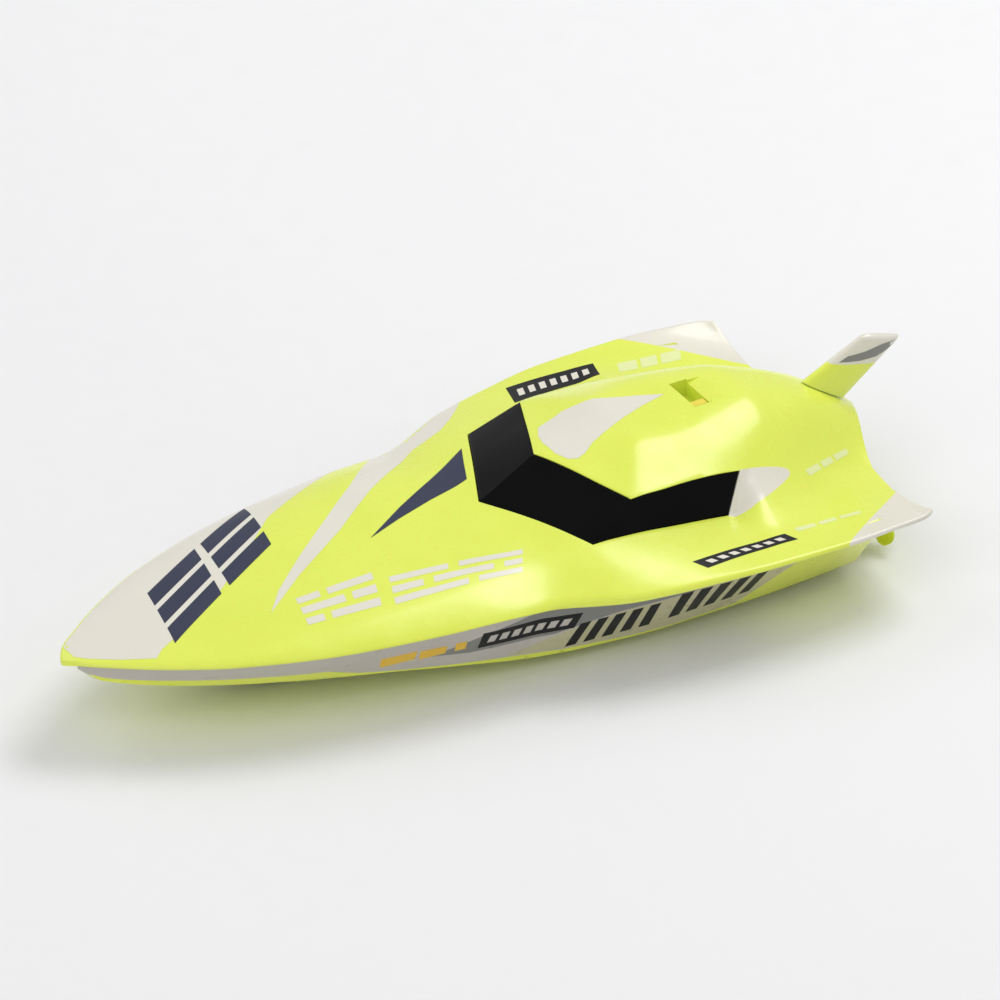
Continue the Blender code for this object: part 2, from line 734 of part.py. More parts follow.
def make_inner_deck():
    outline = [(station, plate_breadth(station)) for station in PLATE_STATIONS]
    ring = outline + [(station, -breadth) for station, breadth in reversed(outline)]
    bottom = [point(station, breadth, PLATE_BOTTOM) for station, breadth in ring]
    top = [point(station, breadth, PLATE_TOP) for station, breadth in ring]
    plate = loft("inner_deck", [bottom, top], "inner_grey", smooth=False)
    middle = CELL_MIDDLE[0]
    half = CELL_LENGTH / 2 + 1.5
    low = (middle - half, -HATCH_BREADTH, PLATE_BOTTOM - 2.0)
    high = (middle + half, HATCH_BREADTH, PLATE_TOP + 2.0)
    cut(plate, box("battery_hatch", low, high, cutter=True))
    for index, (station, breadth) in enumerate(PLATE_SCREWS):
        for side, sign in (("port", 1), ("starboard", -1)):
            hole = rod(f"plate_hole_{side}_{index}", 1.35, 6.0, cutter=True, sides=16)
            hole.location = point(station, breadth * sign, PLATE_BOTTOM - 2.0)
            cut(plate, hole)
            screw = make_screw(f"deck_screw_{side}_{index + 1}", 0.9, 6.4, 2.0)
            screw.rotation_euler = (math.pi, 0.0, 0.0)
            screw.location = point(station, breadth * sign, PLATE_TOP + GAP + 1.2)
    for name, station, breadth in HINGE_LUGS:
        join_hinge_lug(plate, name, station, breadth)
    add_catch_post(plate)
    return plate


def join_hinge_lug(plate, name, station, breadth):
    low = (station - 1.2, breadth - 1.3, PLATE_TOP - 0.5)
    high = (station + 1.2, breadth + 1.3, HINGE_HEIGHT + 1.3)
    join(plate, box(f"hinge_lug_{name}", low, high, cutter=True))


def add_catch_post(plate):
    """The post that the cover latch stands against."""
    low = (SLOT_STATION + 6.7, 5.6, PLATE_TOP - 0.5)
    high = (SLOT_STATION + 10.3, 8.4, 34.6)
    join(plate, box("catch_post", low, high, cutter=True))


def make_door():
    """Battery door: a flat lid that turns about a pin along its port edge."""
    pivot = empty("battery_door_hinge", point(CELL_MIDDLE[0], HINGE_BREADTH, HINGE_HEIGHT))
    middle = CELL_MIDDLE[0]
    half = DOOR_LENGTH / 2
    low = (middle - half, DOOR_EDGE, PLATE_TOP + DOOR_LIFT)
    high = (middle + half, 6.8, PLATE_TOP + DOOR_LIFT + DOOR_THICKNESS)
    door = box("battery_door", low, high, "inner_grey")
    low = (KNOB_STATION - 2.6, KNOB_BREADTH - 2.8, PLATE_TOP + DOOR_LIFT)
    high = (middle - half + 1.0, KNOB_BREADTH + 2.6, PLATE_TOP + DOOR_LIFT + DOOR_THICKNESS)
    join(door, box("door_tab", low, high, cutter=True))
    knuckle_low = (middle - 20.6, 6.4, HINGE_HEIGHT - 0.7)
    knuckle_high = (middle + 20.6, HINGE_BREADTH + 0.2, HINGE_HEIGHT + 0.7)
    join(door, box("door_arm", knuckle_low, knuckle_high, cutter=True))
    barrel = rod("door_barrel", 1.3, 41.2, cutter=True, sides=20)
    barrel.rotation_euler = (0.0, math.pi / 2, 0.0)
    barrel.location = point(middle + 20.6, HINGE_BREADTH, HINGE_HEIGHT)
    join(door, barrel)
    bore = rod("hinge_bore", 0.85, 60.0, cutter=True, sides=16)
    bore.rotation_euler = (0.0, math.pi / 2, 0.0)
    bore.location = point(middle + 30.0, HINGE_BREADTH, HINGE_HEIGHT)
    cut(door, bore)
    cut(bpy.data.objects["inner_deck"], bore)
    knob_hole = rod("knob_hole", 1.3, 8.0, cutter=True, sides=16)
    knob_hole.location = point(KNOB_STATION, KNOB_BREADTH, PLATE_TOP - 2.0)
    cut(door, knob_hole)
    keep_place(door, pivot)
    pin = rod("hinge_pin", 0.55, 47.4, "steel", sides=12)
    pin.rotation_euler = (0.0, math.pi / 2, 0.0)
    pin.location = point(middle + 23.7, HINGE_BREADTH, HINGE_HEIGHT)
    make_door_seal(pivot)
    make_door_knob()


def make_door_seal(pivot):
    """A rubber ring under the door, round the hatch."""
    middle = CELL_MIDDLE[0]
    rings = []
    for grow in (0.2, 0.8):
        reach = CELL_LENGTH / 2 + 1.5 + grow
        breadth = HATCH_BREADTH + grow
        for height in (PLATE_TOP + 0.15, PLATE_TOP + DOOR_LIFT - 0.15):
            rings.append([
                point(middle + reach * along_side, breadth * across_side, height)
                for along_side, across_side in ((-1, -1), (1, -1), (1, 1), (-1, 1))
            ])
    inner_low, inner_high, outer_low, outer_high = rings
    seal = tube_ring("door_seal", [inner_low, inner_high, outer_high, outer_low], "rubber_black")
    keep_place(seal, pivot)


def tube_ring(name, loops, material):
    """A closed ring whose section goes round the given loops in turn."""
    count = len(loops[0])
    verts = [vert for loop in loops for vert in loop]
    faces = []
    for level in range(len(loops)):
        under = (level + 1) % len(loops)
        for step in range(count):
            after = (step + 1) % count
            faces.append([
                level * count + step, level * count + after,
                under * count + after, under * count + step,
            ])
    return add_mesh(name, verts, faces, material)


def make_door_knob():
    """A quarter-turn knob through the door's free edge."""
    top = PLATE_TOP + DOOR_LIFT + DOOR_THICKNESS
    spot = point(KNOB_STATION, KNOB_BREADTH, top + GAP)
    pivot = empty("door_knob_turn", spot)
    profile = [(0.0, 1.2), (1.9, 1.2), (2.2, 0.9), (2.2, 0.0), (1.0, 0.0), (1.0, -1.9), (0.0, -1.9)]
    knob = turned("door_knob", profile, "inner_grey", sides=20)
    knob.location = spot
    keep_place(knob, pivot)
    low = (KNOB_STATION - 0.6, KNOB_BREADTH - 2.0, top + GAP + 1.0)
    high = (KNOB_STATION + 0.6, KNOB_BREADTH + 2.0, top + GAP + 2.4)
    join(knob, box("knob_grip", low, high, cutter=True))


def make_battery():
    station, height = CELL_MIDDLE
    cell = turned("battery_cell", [
        (0.0, CELL_LENGTH), (1.6, CELL_LENGTH), (1.6, CELL_LENGTH - 0.9),
        (CELL_RADIUS - 0.5, CELL_LENGTH - 0.9), (CELL_RADIUS, CELL_LENGTH - 1.4),
        (CELL_RADIUS, 0.5), (CELL_RADIUS - 0.5, 0.0), (0.0, 0.0),
    ], "cell_wrap", sides=24)
    cell.rotation_euler = (0.0, math.pi / 2, 0.0)
    cell.location = point(station + CELL_LENGTH / 2, 0.0, height)
    make_battery_tray(station, height)
    for name, end in (("contact_positive", -1), ("contact_negative", 1)):
        place = station + end * (CELL_LENGTH / 2 + 0.65)
        low = (place - 0.25, -4.0, height - 4.0)
        high = (place + 0.25, 4.0, height + 4.0)
        box(name, low, high, "steel")


def make_battery_tray(station, height):
    """An open trough that carries the cell and its contacts."""
    half = CELL_LENGTH / 2 + 2.8
    low = (station - half, -7.4, 2.4)
    high = (station + half, 7.4, height + 1.0)
    tray = box("battery_tray", low, high, "inner_grey")
    trough = rod("cell_trough", CELL_RADIUS + 0.4, CELL_LENGTH + 3.0, cutter=True, sides=24)
    trough.rotation_euler = (0.0, math.pi / 2, 0.0)
    trough.location = point(station + CELL_LENGTH / 2 + 1.5, 0.0, height)
    cut(tray, trough)


def make_electrics():
    """Receiver board with its chip, socket and switch housing under the inner deck."""
    box("circuit_board", (97.0, -15.0, 10.4), (133.0, 15.0, 12.0), "board_green")
    box("radio_chip", (108.0, -5.0, 12.3), (118.0, 5.0, 14.3), "rubber_black", bevel=0.3)
    socket = box("charge_socket", (199.0, 12.0, 19.3), (208.0, 20.0, 24.5), "inner_grey")
    cut(socket, box("socket_mouth", (196.0, 13.8, 21.0), (206.0, 18.2, 23.0), cutter=True))
    housing = box("switch_housing", (198.8, -6.0, 19.3), (209.2, -1.0, 22.6), "inner_grey")
    cut(housing, box("switch_well", (200.4, -5.0, 20.6), (207.6, -2.0, 24.0), cutter=True))
    pivot = empty("power_switch_slide", point(202.0, -3.5, 21.0))
    button = box("power_switch", (200.9, -4.6, 20.9), (203.1, -2.4, 24.0), "latch_pale", bevel=0.2)
    keep_place(button, pivot)
    box("bow_float", (48.0, -9.0, 8.6), (86.0, 9.0, 16.8), "foam_white", bevel=1.5)


def make_gasket():
    """Rubber strip on the inner deck's rim."""
    loops = []
    for inset, height in ((1.5, 19.3), (3.1, 19.3), (3.1, 20.3), (1.5, 20.3)):
        side = [(station, plate_breadth(station) - inset) for station in GASKET_STATIONS]
        port = [point(station, breadth, height) for station, breadth in side]
        starboard = [point(station, -breadth, height) for station, breadth in reversed(side)]
        loops.append(port + starboard)
    tube_ring("deck_gasket", loops, "rubber_black")


# ---- Drive lines ----

def shaft_matrix(sign):
    """Frame at the propeller's middle, with local Z forward along the shaft."""
    turn = Matrix.Rotation(math.pi / 2 - SHAFT_SLOPE, 4, "Y")
    return Matrix.Translation(point(PROP_STATION, PROP_BREADTH * sign, PROP_HEIGHT)) @ turn


def place_on_shaft(item, sign, start):
    """Puts a turned part on the shaft line, its lower end at a distance forward of the propeller."""
    item.matrix_world = shaft_matrix(sign) @ Matrix.Translation((0.0, 0.0, start * MM))


def make_blade(index, side, sign):
    """One twisted blade, standing out from the hub along the local X axis."""
    rings = []
    for share in (0.0, 0.25, 0.5, 0.75, 0.92, 1.0):
        radius = 1.6 + (PROP_RADIUS - 1.6) * share
        pitch = -math.radians(32.0 + 30.0 * (1.0 - share)) * sign
        chord = [2.4, 4.2, 5.2, 5.0, 3.8, 2.0][len(rings)]
        ring = []
        for step in range(10):
            angle = 2 * math.pi * step / 10
            length = chord / 2 * math.cos(angle)
            thick = 0.45 * math.sin(angle)
            across = length * math.cos(pitch) - thick * math.sin(pitch)
            axial = length * math.sin(pitch) + thick * math.cos(pitch)
            ring.append(Vector((radius, across, axial)) * MM)
        rings.append(ring)
    return loft(f"blade_{side}_{index}", rings, cutter=True)


def make_drive(side, sign):
    hub_profile = [(0.0, 3.0), (2.0, 3.0), (2.3, 2.6), (2.3, -2.6), (2.0, -3.0), (0.0, -3.0)]
    propeller = turned(f"propeller_{side}", hub_profile, "shell_yellow", sides=20)
    place_on_shaft(propeller, sign, 0.0)
    for index in range(3):
        blade = make_blade(index, side, sign)
        turn = BLADE_ANGLE * sign + 2 * math.pi * index / 3
        blade.matrix_world = shaft_matrix(sign) @ Matrix.Rotation(turn, 4, "Z")
        join(propeller, blade)
    bore = rod(f"hub_bore_{side}", SHAFT_RADIUS + GAP, 12.0, cutter=True, sides=16)
    place_on_shaft(bore, sign, -6.0)
    cut(propeller, bore)
    shaft = rod(f"drive_shaft_{side}", SHAFT_RADIUS, 45.0, "steel", sides=16)
    place_on_shaft(shaft, sign, -6.2)
    coupling = rod(f"shaft_coupling_{side}", 2.6, 9.0, "rubber_black", sides=20, bore=SHAFT_RADIUS + GAP)
    place_on_shaft(coupling, sign, 29.6)
    nut = rod(f"prop_nut_{side}", 2.1, 2.0, "brass", sides=6, bore=SHAFT_RADIUS + GAP)
    place_on_shaft(nut, sign, -5.4)
    tube = rod(f"stern_tube_{side}", TUBE_RADIUS, 22.0, "brass", sides=20, bore=SHAFT_RADIUS + GAP)
    place_on_shaft(tube, sign, 4.6)
    seal = rod(f"tube_seal_{side}", 3.4, 2.4, "rubber_black", sides=20, bore=TUBE_RADIUS + GAP)
    place_on_shaft(seal, sign, 15.1)
    motor_profile = [
        (0.0, 21.0), (5.4, 21.0), (MOTOR_RADIUS, 20.4), (MOTOR_RADIUS, 0.6), (5.4, 0.0),
        (2.0, 0.0), (2.0, -1.0), (0.0, -1.0),
    ]
    motor = turned(f"motor_{side}", motor_profile, "steel", sides=24)
    place_on_shaft(motor, sign, 40.6)


def make_motor_cradle(side, sign):
    """A block beside the battery that carries one motor."""
    station = 174.0
    low = (station - 3.0, 9.4 * sign, 4.1)
    high = (station + 3.0, 27.0 * sign, 15.5)
    cradle = box(f"motor_cradle_{side}", low, high, "inner_grey")
    hole = rod(f"motor_hole_{side}", MOTOR_RADIUS + 0.35, 16.0, cutter=True, sides=24)
    place_on_shaft(hole, sign, 44.0)
    cut(cradle, hole)


clear_scene()
PARTS = make_collection("toy_boat")
CUTTERS = make_collection("cutters")
MATERIALS = {name: make_material(name) for name in COLOURS}

make_lower_hull()
make_upper_deck()
make_windscreen()
make_tail_fin()
make_latch()
make_latch_spring()
make_inner_deck()
make_gasket()
make_door()
make_battery()
make_electrics()
make_water_contacts()
for side_name, side_sign in (("port", 1), ("starboard", -1)):
    make_drive(side_name, side_sign)
    make_motor_cradle(side_name, side_sign)
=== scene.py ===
import json
import math

import bmesh
import bpy
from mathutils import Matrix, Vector, geometry
from mathutils.bvhtree import BVHTree


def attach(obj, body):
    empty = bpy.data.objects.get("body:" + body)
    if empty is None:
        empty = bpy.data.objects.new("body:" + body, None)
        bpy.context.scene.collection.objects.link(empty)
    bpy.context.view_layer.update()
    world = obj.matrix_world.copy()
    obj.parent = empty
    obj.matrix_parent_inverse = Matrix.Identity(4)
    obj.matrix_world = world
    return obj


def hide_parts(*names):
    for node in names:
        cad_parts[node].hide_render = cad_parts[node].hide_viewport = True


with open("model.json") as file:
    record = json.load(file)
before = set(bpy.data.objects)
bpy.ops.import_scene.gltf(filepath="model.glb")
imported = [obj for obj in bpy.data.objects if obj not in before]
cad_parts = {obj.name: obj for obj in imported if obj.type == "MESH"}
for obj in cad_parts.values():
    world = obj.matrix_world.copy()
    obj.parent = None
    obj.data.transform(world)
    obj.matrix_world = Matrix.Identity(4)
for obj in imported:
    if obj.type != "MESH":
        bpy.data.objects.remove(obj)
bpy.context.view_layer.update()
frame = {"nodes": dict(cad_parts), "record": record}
print("stage: CAD frame loaded")

mm = 0.001
bowX = 0.125  # x of the bow tip; stations run aft from it in millimetres
body = {"hull": "hull", "cover": "top_cover"}


# Hull and deck lines, as (station, value) in millimetres.
deckEdge = [
    (0.0, 0.3), (0.6, 1.6), (2.0, 3.7), (4.0, 5.8), (6.6, 7.9), (21.7, 18.4), (37.5, 26.7), (64.8, 35.8),
    (94.8, 40.9), (108.3, 42.2), (118.0, 42.6), (141.7, 51.6), (157.5, 55.0), (176.7, 57.5), (199.8, 58.0),
    (216.6, 56.6), (223.0, 55.6), (226.8, 53.6),
]
edgeHeight = [
    (0.0, 24.0), (60.0, 24.0), (118.0, 23.5), (150.0, 24.4), (177.0, 25.3), (200.0, 25.2), (227.0, 24.5),
]
deckCrown = [
    (0.0, 0.0), (10.0, 0.8), (30.0, 2.3), (64.0, 4.3), (95.0, 6.0), (123.0, 7.2), (138.5, 9.0),
    (150.0, 7.2), (165.0, 3.6), (178.0, 1.2), (205.0, -2.5), (228.0, -5.6),
]
crownPower = [
    (0.0, 2.0), (20.0, 2.6), (60.0, 4.0), (100.0, 4.0), (122.0, 2.5), (138.0, 2.0), (178.0, 3.3),
    (226.0, 5.0),
]
roofHeight = [
    (123.2, 30.8), (139.6, 40.1), (155.0, 42.0), (170.0, 42.9), (186.5, 43.4), (197.0, 43.2),
    (207.0, 40.7), (219.6, 35.7), (228.0, 30.3), (235.0, 25.2),
]
roofWidth = [
    (139.0, 52.0), (152.0, 47.0), (160.0, 38.5), (171.0, 34.5), (188.0, 30.0), (207.0, 22.0),
    (224.0, 14.5), (235.0, 10.7),
]
roofPower = [(139.0, 1.15), (152.0, 1.5), (160.0, 2.4), (171.0, 3.0), (180.0, 3.2), (235.0, 3.2)]
chineBreadth = [
    (1.5, 1.0), (6.0, 4.2), (15.5, 10.5), (32.4, 18.0), (50.3, 24.0), (75.9, 30.0), (96.0, 32.5),
    (120.5, 35.6), (135.0, 37.2), (156.0, 39.2), (177.0, 39.2), (199.0, 38.3), (213.5, 37.0),
]
chineHeight = [
    (1.5, 19.0), (6.0, 17.8), (15.5, 16.5), (32.4, 14.7), (50.3, 13.1), (75.9, 10.7), (96.0, 7.5),
    (120.5, 4.3), (135.0, 3.6), (213.5, 3.6),
]
keelHeight = [(1.5, 18.6), (6.0, 16.6), (15.0, 13.0), (30.0, 8.0), (50.0, 2.6), (68.0, 0.0), (213.5, 0.0)]
padBreadth = [(1.5, 0.4), (30.0, 2.0), (68.0, 8.0), (100.0, 14.0), (213.5, 14.0)]
gunwaleBreadth = [
    (118.0, 40.2), (141.7, 46.5), (157.5, 49.5), (176.7, 51.5), (200.0, 51.5), (213.5, 50.0),
]
# How wide and how deep the deck's rolled edge is, and how far its lip hangs, by station.
edgeRoll = [
    (0.0, 0.6), (6.0, 1.8), (20.0, 2.6), (60.0, 3.2), (104.0, 3.0), (125.0, 2.2), (150.0, 1.3), (227.0, 1.1),
]
edgeDrop = [
    (0.0, 0.6), (60.0, 0.7), (104.0, 0.35), (118.0, 0.9), (130.0, 1.2), (147.0, 1.0), (227.0, 0.9),
]
lipDepth = [
    (0.0, 1.1), (60.0, 1.0), (92.0, 0.7), (104.0, 0.5), (118.0, 1.2), (130.0, 1.7), (147.0, 1.4),
    (166.0, 1.2), (227.0, 1.3),
]
edgeLook = {
    "crownEnd": 226.0,  # aft of this station the plain deck keeps its section
    "edgeEnd": 226.8,  # aft of this station the edge keeps its breadth
    "noseDip": 1.3, "noseReach": 4.0,  # the tip of the bow turns down
    "lipLean": 0.12,
}
hair = 1e-6  # closer than this counts as touching


def knotSlope(slopes, index):
    if index == 0:
        return slopes[0]
    if index == len(slopes):
        return slopes[-1]
    before, after = slopes[index - 1], slopes[index]
    if before * after <= 0:
        return 0.0
    return 2 * before * after / (before + after)


def along(table, station):
    # Reads a smooth curve through the table's points, which never overshoots them.
    if station <= table[0][0]:
        return table[0][1]
    if station >= table[-1][0]:
        return table[-1][1]
    slopes = [(b[1] - a[1]) / (b[0] - a[0]) for a, b in zip(table, table[1:])]
    for index, (a, b) in enumerate(zip(table, table[1:])):
        if station <= b[0]:
            break
    start, end = knotSlope(slopes, index), knotSlope(slopes, index + 1)
    width = b[0] - a[0]
    t = (station - a[0]) / width
    near = (1 + 2 * t) * (1 - t) ** 2 * a[1] + t * (1 - t) ** 2 * width * start
    return near + t * t * (3 - 2 * t) * b[1] + t * t * (t - 1) * width * end


def place(station, breadth, height):
    return Vector((bowX - station * mm, breadth * mm, height * mm))


def mix(a, b, share):
    return a + (b - a) * share


def smooth(share):
    share = min(max(share, 0.0), 1.0)
    return share * share * (3 - 2 * share)


def distanceTo(x, y, start, end):
    # How far a point is from the straight line between two others.
    (a, b), (c, d) = start, end
    run = (c - a) ** 2 + (d - b) ** 2
    share = 0.0
    if run > 0:
        share = min(1.0, max(0.0, ((x - a) * (c - a) + (y - b) * (d - b)) / run))
    return math.hypot(x - a - share * (c - a), y - b - share * (d - b))


def plainDeck(station, breadth):
    edge = along(deckEdge, min(station, edgeLook["crownEnd"]))
    ratio = min(abs(breadth) / edge, 1.0)
    nose = edgeLook["noseDip"] * max(0.0, 1 - station / edgeLook["noseReach"]) ** 2
    crown = along(deckCrown, station) * (1 - ratio ** along(crownPower, station))
    return along(edgeHeight, station) + crown - nose


# A soft fold runs from each front corner of the roof towards its middle, then aft.
creaseLook = {
    "soft": 0.9, "reach": 10.0, "falloff": 1.5,
    "lines": [((152.0, 27.5), (163.0, 11.5), 0.75), ((163.0, 11.5), (180.0, 14.5), 0.35)],
}


def roofCrease(station, breadth):
    height = 0.0
    for start, end, fold in creaseLook["lines"]:
        away = distanceTo(station, breadth, start, end)
        near = max(0.0, 1 - math.hypot(away, creaseLook["soft"]) / creaseLook["reach"])
        height += fold * near ** creaseLook["falloff"]
    return height


def cabinDeck(station, breadth):
    rise = along(roofHeight, station) - plainDeck(station, 0.0)
    spread = math.exp(-((abs(breadth) / along(roofWidth, station)) ** along(roofPower, station)))
    return plainDeck(station, breadth) + rise * spread + roofCrease(station, abs(breadth))


# Rows across the deck: station at the centreline, window top line, window bottom line and
# deck edge, then the half-breadths of the two window lines. On the foredeck, where there is
# no window, the two lines are shares of the half-breadth.
foreLines = (0.55, 0.66)
bowStations = [0.0, 2.0, 6.0, 12.0, 20.0, 31.0, 45.0, 62.0, 80.0]
cabinRows = [
    (94.0, 98.0, 99.0, 98.0, 22.5, 26.5), (108.0, 116.0, 117.5, 110.0, 24.5, 29.5),
    (116.0, 126.5, 128.5, 118.0, 25.5, 30.5), (123.2, 135.9, 138.5, 130.0, 26.0, 31.2),
    (139.6, 152.0, 154.0, 145.0, 27.5, 31.8), (152.0, 160.5, 162.0, 158.0, 27.5, 32.1),
    (165.0, 169.0, 170.0, 168.0, 27.3, 32.3), (178.0, 178.5, 175.0, 174.0, 27.1, 32.4),
    (186.0, 185.0, 178.2, 177.5, 27.0, 32.5), (191.5, 191.0, 188.0, 186.0, 26.0, 32.8),
    (198.0, 197.5, 196.0, 195.0, 25.0, 33.2), (205.0, 204.5, 203.5, 203.0, 24.2, 33.6),
    (212.0, 211.0, 210.5, 210.0, 23.4, 34.0), (218.5, 217.5, 216.5, 216.6, 22.8, 34.2),
    (226.5, 223.5, 222.0, 222.5, 22.3, 34.4), (235.0, 228.0, 226.3, 226.4, 22.0, 34.6),
]
foreRows = [(s, s, s, s, *[line * along(deckEdge, s) for line in foreLines]) for s in bowStations]
deckRows = foreRows + cabinRows
screenRow = len(bowStations) + 3
rearRow = len(bowStations) + 8
# The columns' numbers: roof, window, side deck, rolled edge and lip, from the centreline out.
roofEnd, lowEnd, rollStart, rollEnd, lipEnd = 5.0, 6.0, 10.0, 11.0, 12.0


def rowAt(r):
    index = min(int(r), len(deckRows) - 2)
    return [mix(a, b, r - index) for a, b in zip(deckRows[index], deckRows[index + 1])]


def rollDrop(station, breadth):
    edge, roll = along(deckEdge, min(station, edgeLook["edgeEnd"])), along(edgeRoll, station)
    share = min(max((abs(breadth) - (edge - roll)) / roll, 0.0), 1.0)
    return along(edgeDrop, station) * (1 - math.sqrt(1 - share * share))


def deckHeight(r, c, station, breadth):
    if c <= roofEnd:
        onRoof = r >= screenRow + 0.5
        return cabinDeck(station, breadth) if onRoof else plainDeck(station, breadth)
    blend = smooth(r - rearRow)
    plain = plainDeck(station, breadth)
    if blend <= 0:
        return plain
    return mix(plain, cabinDeck(station, breadth), blend)


def deckSpot(r, c):
    centre, topLine, lowLine, edgeStation, topBreadth, lowBreadth = rowAt(r)
    edge, roll = along(deckEdge, edgeStation), along(edgeRoll, edgeStation)
    if c <= roofEnd:
        share = c / roofEnd
        station, breadth = mix(centre, topLine, share), topBreadth * share
        return place(station, breadth, deckHeight(r, c, station, breadth))
    if c < lowEnd:
        share = c - roofEnd
        station, breadth = mix(topLine, lowLine, share), mix(topBreadth, lowBreadth, share)
        blend = smooth(r - rearRow)
        if r < rearRow - 0.5:
            return place(station, breadth, plainDeck(station, breadth))
        straight = mix(cabinDeck(topLine, topBreadth), deckHeight(r, lowEnd, lowLine, lowBreadth), share)
        return place(station, breadth, mix(straight, cabinDeck(station, breadth), blend))
    if c <= rollStart:
        share = (c - lowEnd) / (rollStart - lowEnd)
        station = mix(lowLine, edgeStation, share)
        breadth = mix(lowBreadth, edge - roll, share)
        return place(station, breadth, deckHeight(r, c, station, breadth) - rollDrop(station, breadth))
    if c <= rollEnd:
        angle = (c - rollStart) * math.pi / 2
        breadth = edge - roll * (1 - math.sin(angle))
        drop = along(edgeDrop, edgeStation) * (1 - math.cos(angle))
        return place(edgeStation, breadth, deckHeight(r, c, edgeStation, breadth) - drop)
    share = c - rollEnd
    top = deckHeight(r, rollEnd, edgeStation, edge) - along(edgeDrop, edgeStation)
    low = deckHeight(r, rollEnd, edgeStation, edge) - along(lipDepth, edgeStation)
    return place(edgeStation, edge - edgeLook["lipLean"] * share, mix(top, low, share))


# Materials: each is mottled, smudged and lightly scratched, and the metals are brushed.
def addNode(tree, kind, **values):
    node = tree.nodes.new(kind)
    for key, value in values.items():
        setattr(node, key, value)
    return node


def noise(tree, coords, scale, detail=4.0, stretch=None):
    source = coords
    if stretch:
        mapping = addNode(tree, "ShaderNodeMapping")
        mapping.inputs["Scale"].default_value = stretch
        tree.links.new(coords, mapping.inputs["Vector"])
        source = mapping.outputs["Vector"]
    node = addNode(tree, "ShaderNodeTexNoise")
    node.inputs["Scale"].default_value = scale
    node.inputs["Detail"].default_value = detail
    tree.links.new(source, node.inputs["Vector"])
    return node.outputs["Fac"]


def remap(tree, value, low, high, fromLow=0.3, fromHigh=0.7):
    node = addNode(tree, "ShaderNodeMapRange")
    for key, number in (("From Min", fromLow), ("From Max", fromHigh), ("To Min", low), ("To Max", high)):
        node.inputs[key].default_value = number
    tree.links.new(value, node.inputs["Value"])
    return node.outputs["Result"]


# What a finish has unless it says otherwise. Scales are of noise, per metre.
plainLook = {
    "metallic": 0.0, "ior": 1.47, "specular": 0.5, "coat": 0.0, "coatRoughness": 0.06,
    "glow": 0.0, "glowReach": 0.002,
    "mottle": 0.5, "mottleScale": 60.0, "smudgeScale": 140.0, "smudge": (0.75, 1.3), "brush": (1.0, 1.0, 1.0),
    "grainScale": 2600.0, "bump": 0.12, "bumpDepth": 0.00004,
    "scratch": 0.10, "scratchScale": 900.0, "scratchStretch": (1.0, 14.0, 6.0), "scratchFrom": (0.66, 0.70),
}
shaderSockets = {
    "Metallic": "metallic", "IOR": "ior", "Specular IOR Level": "specular", "Coat Weight": "coat",
    "Coat Roughness": "coatRoughness", "Subsurface Weight": "glow", "Subsurface Scale": "glowReach",
}


def makeMaterial(name, choices):
    look = {**plainLook, **choices}
    material = bpy.data.materials.new(name)
    material.use_nodes = True
    tree = material.node_tree
    shader = tree.nodes["Principled BSDF"]
    coords = addNode(tree, "ShaderNodeTexCoord").outputs["Object"]
    for socket, key in shaderSockets.items():
        shader.inputs[socket].default_value = look[key]
    ramp = addNode(tree, "ShaderNodeMix", data_type="RGBA")
    ramp.inputs["A"].default_value = (*look["colour"], 1.0)
    ramp.inputs["B"].default_value = (*look["shade"], 1.0)
    mottle = noise(tree, coords, look["mottleScale"], 5.0)
    tree.links.new(remap(tree, mottle, 0.0, look["mottle"]), ramp.inputs["Factor"])
    tree.links.new(ramp.outputs["Result"], shader.inputs["Base Color"])
    smudge = noise(tree, coords, look["smudgeScale"], 6.0, look["brush"])
    sleek, dull = [look["roughness"] * share for share in look["smudge"]]
    tree.links.new(remap(tree, smudge, sleek, dull), shader.inputs["Roughness"])
    grain = noise(tree, coords, look["grainScale"], 3.0, look["brush"])
    scratch = noise(tree, coords, look["scratchScale"], 2.0, look["scratchStretch"])
    hairline = remap(tree, scratch, 0.0, look["scratch"], *look["scratchFrom"])
    total = addNode(tree, "ShaderNodeMath", operation="SUBTRACT")
    tree.links.new(grain, total.inputs[0])
    tree.links.new(hairline, total.inputs[1])
    bump = addNode(tree, "ShaderNodeBump")
    bump.inputs["Strength"].default_value = look["bump"]
    bump.inputs["Distance"].default_value = look["bumpDepth"]
    tree.links.new(total.outputs["Value"], bump.inputs["Height"])
    tree.links.new(bump.outputs["Normal"], shader.inputs["Normal"])
    return material


def ink(colour, shade, roughness, **more):
    return {"colour": colour, "shade": shade, "roughness": roughness, "coat": 0.2, "bump": 0.06, **more}


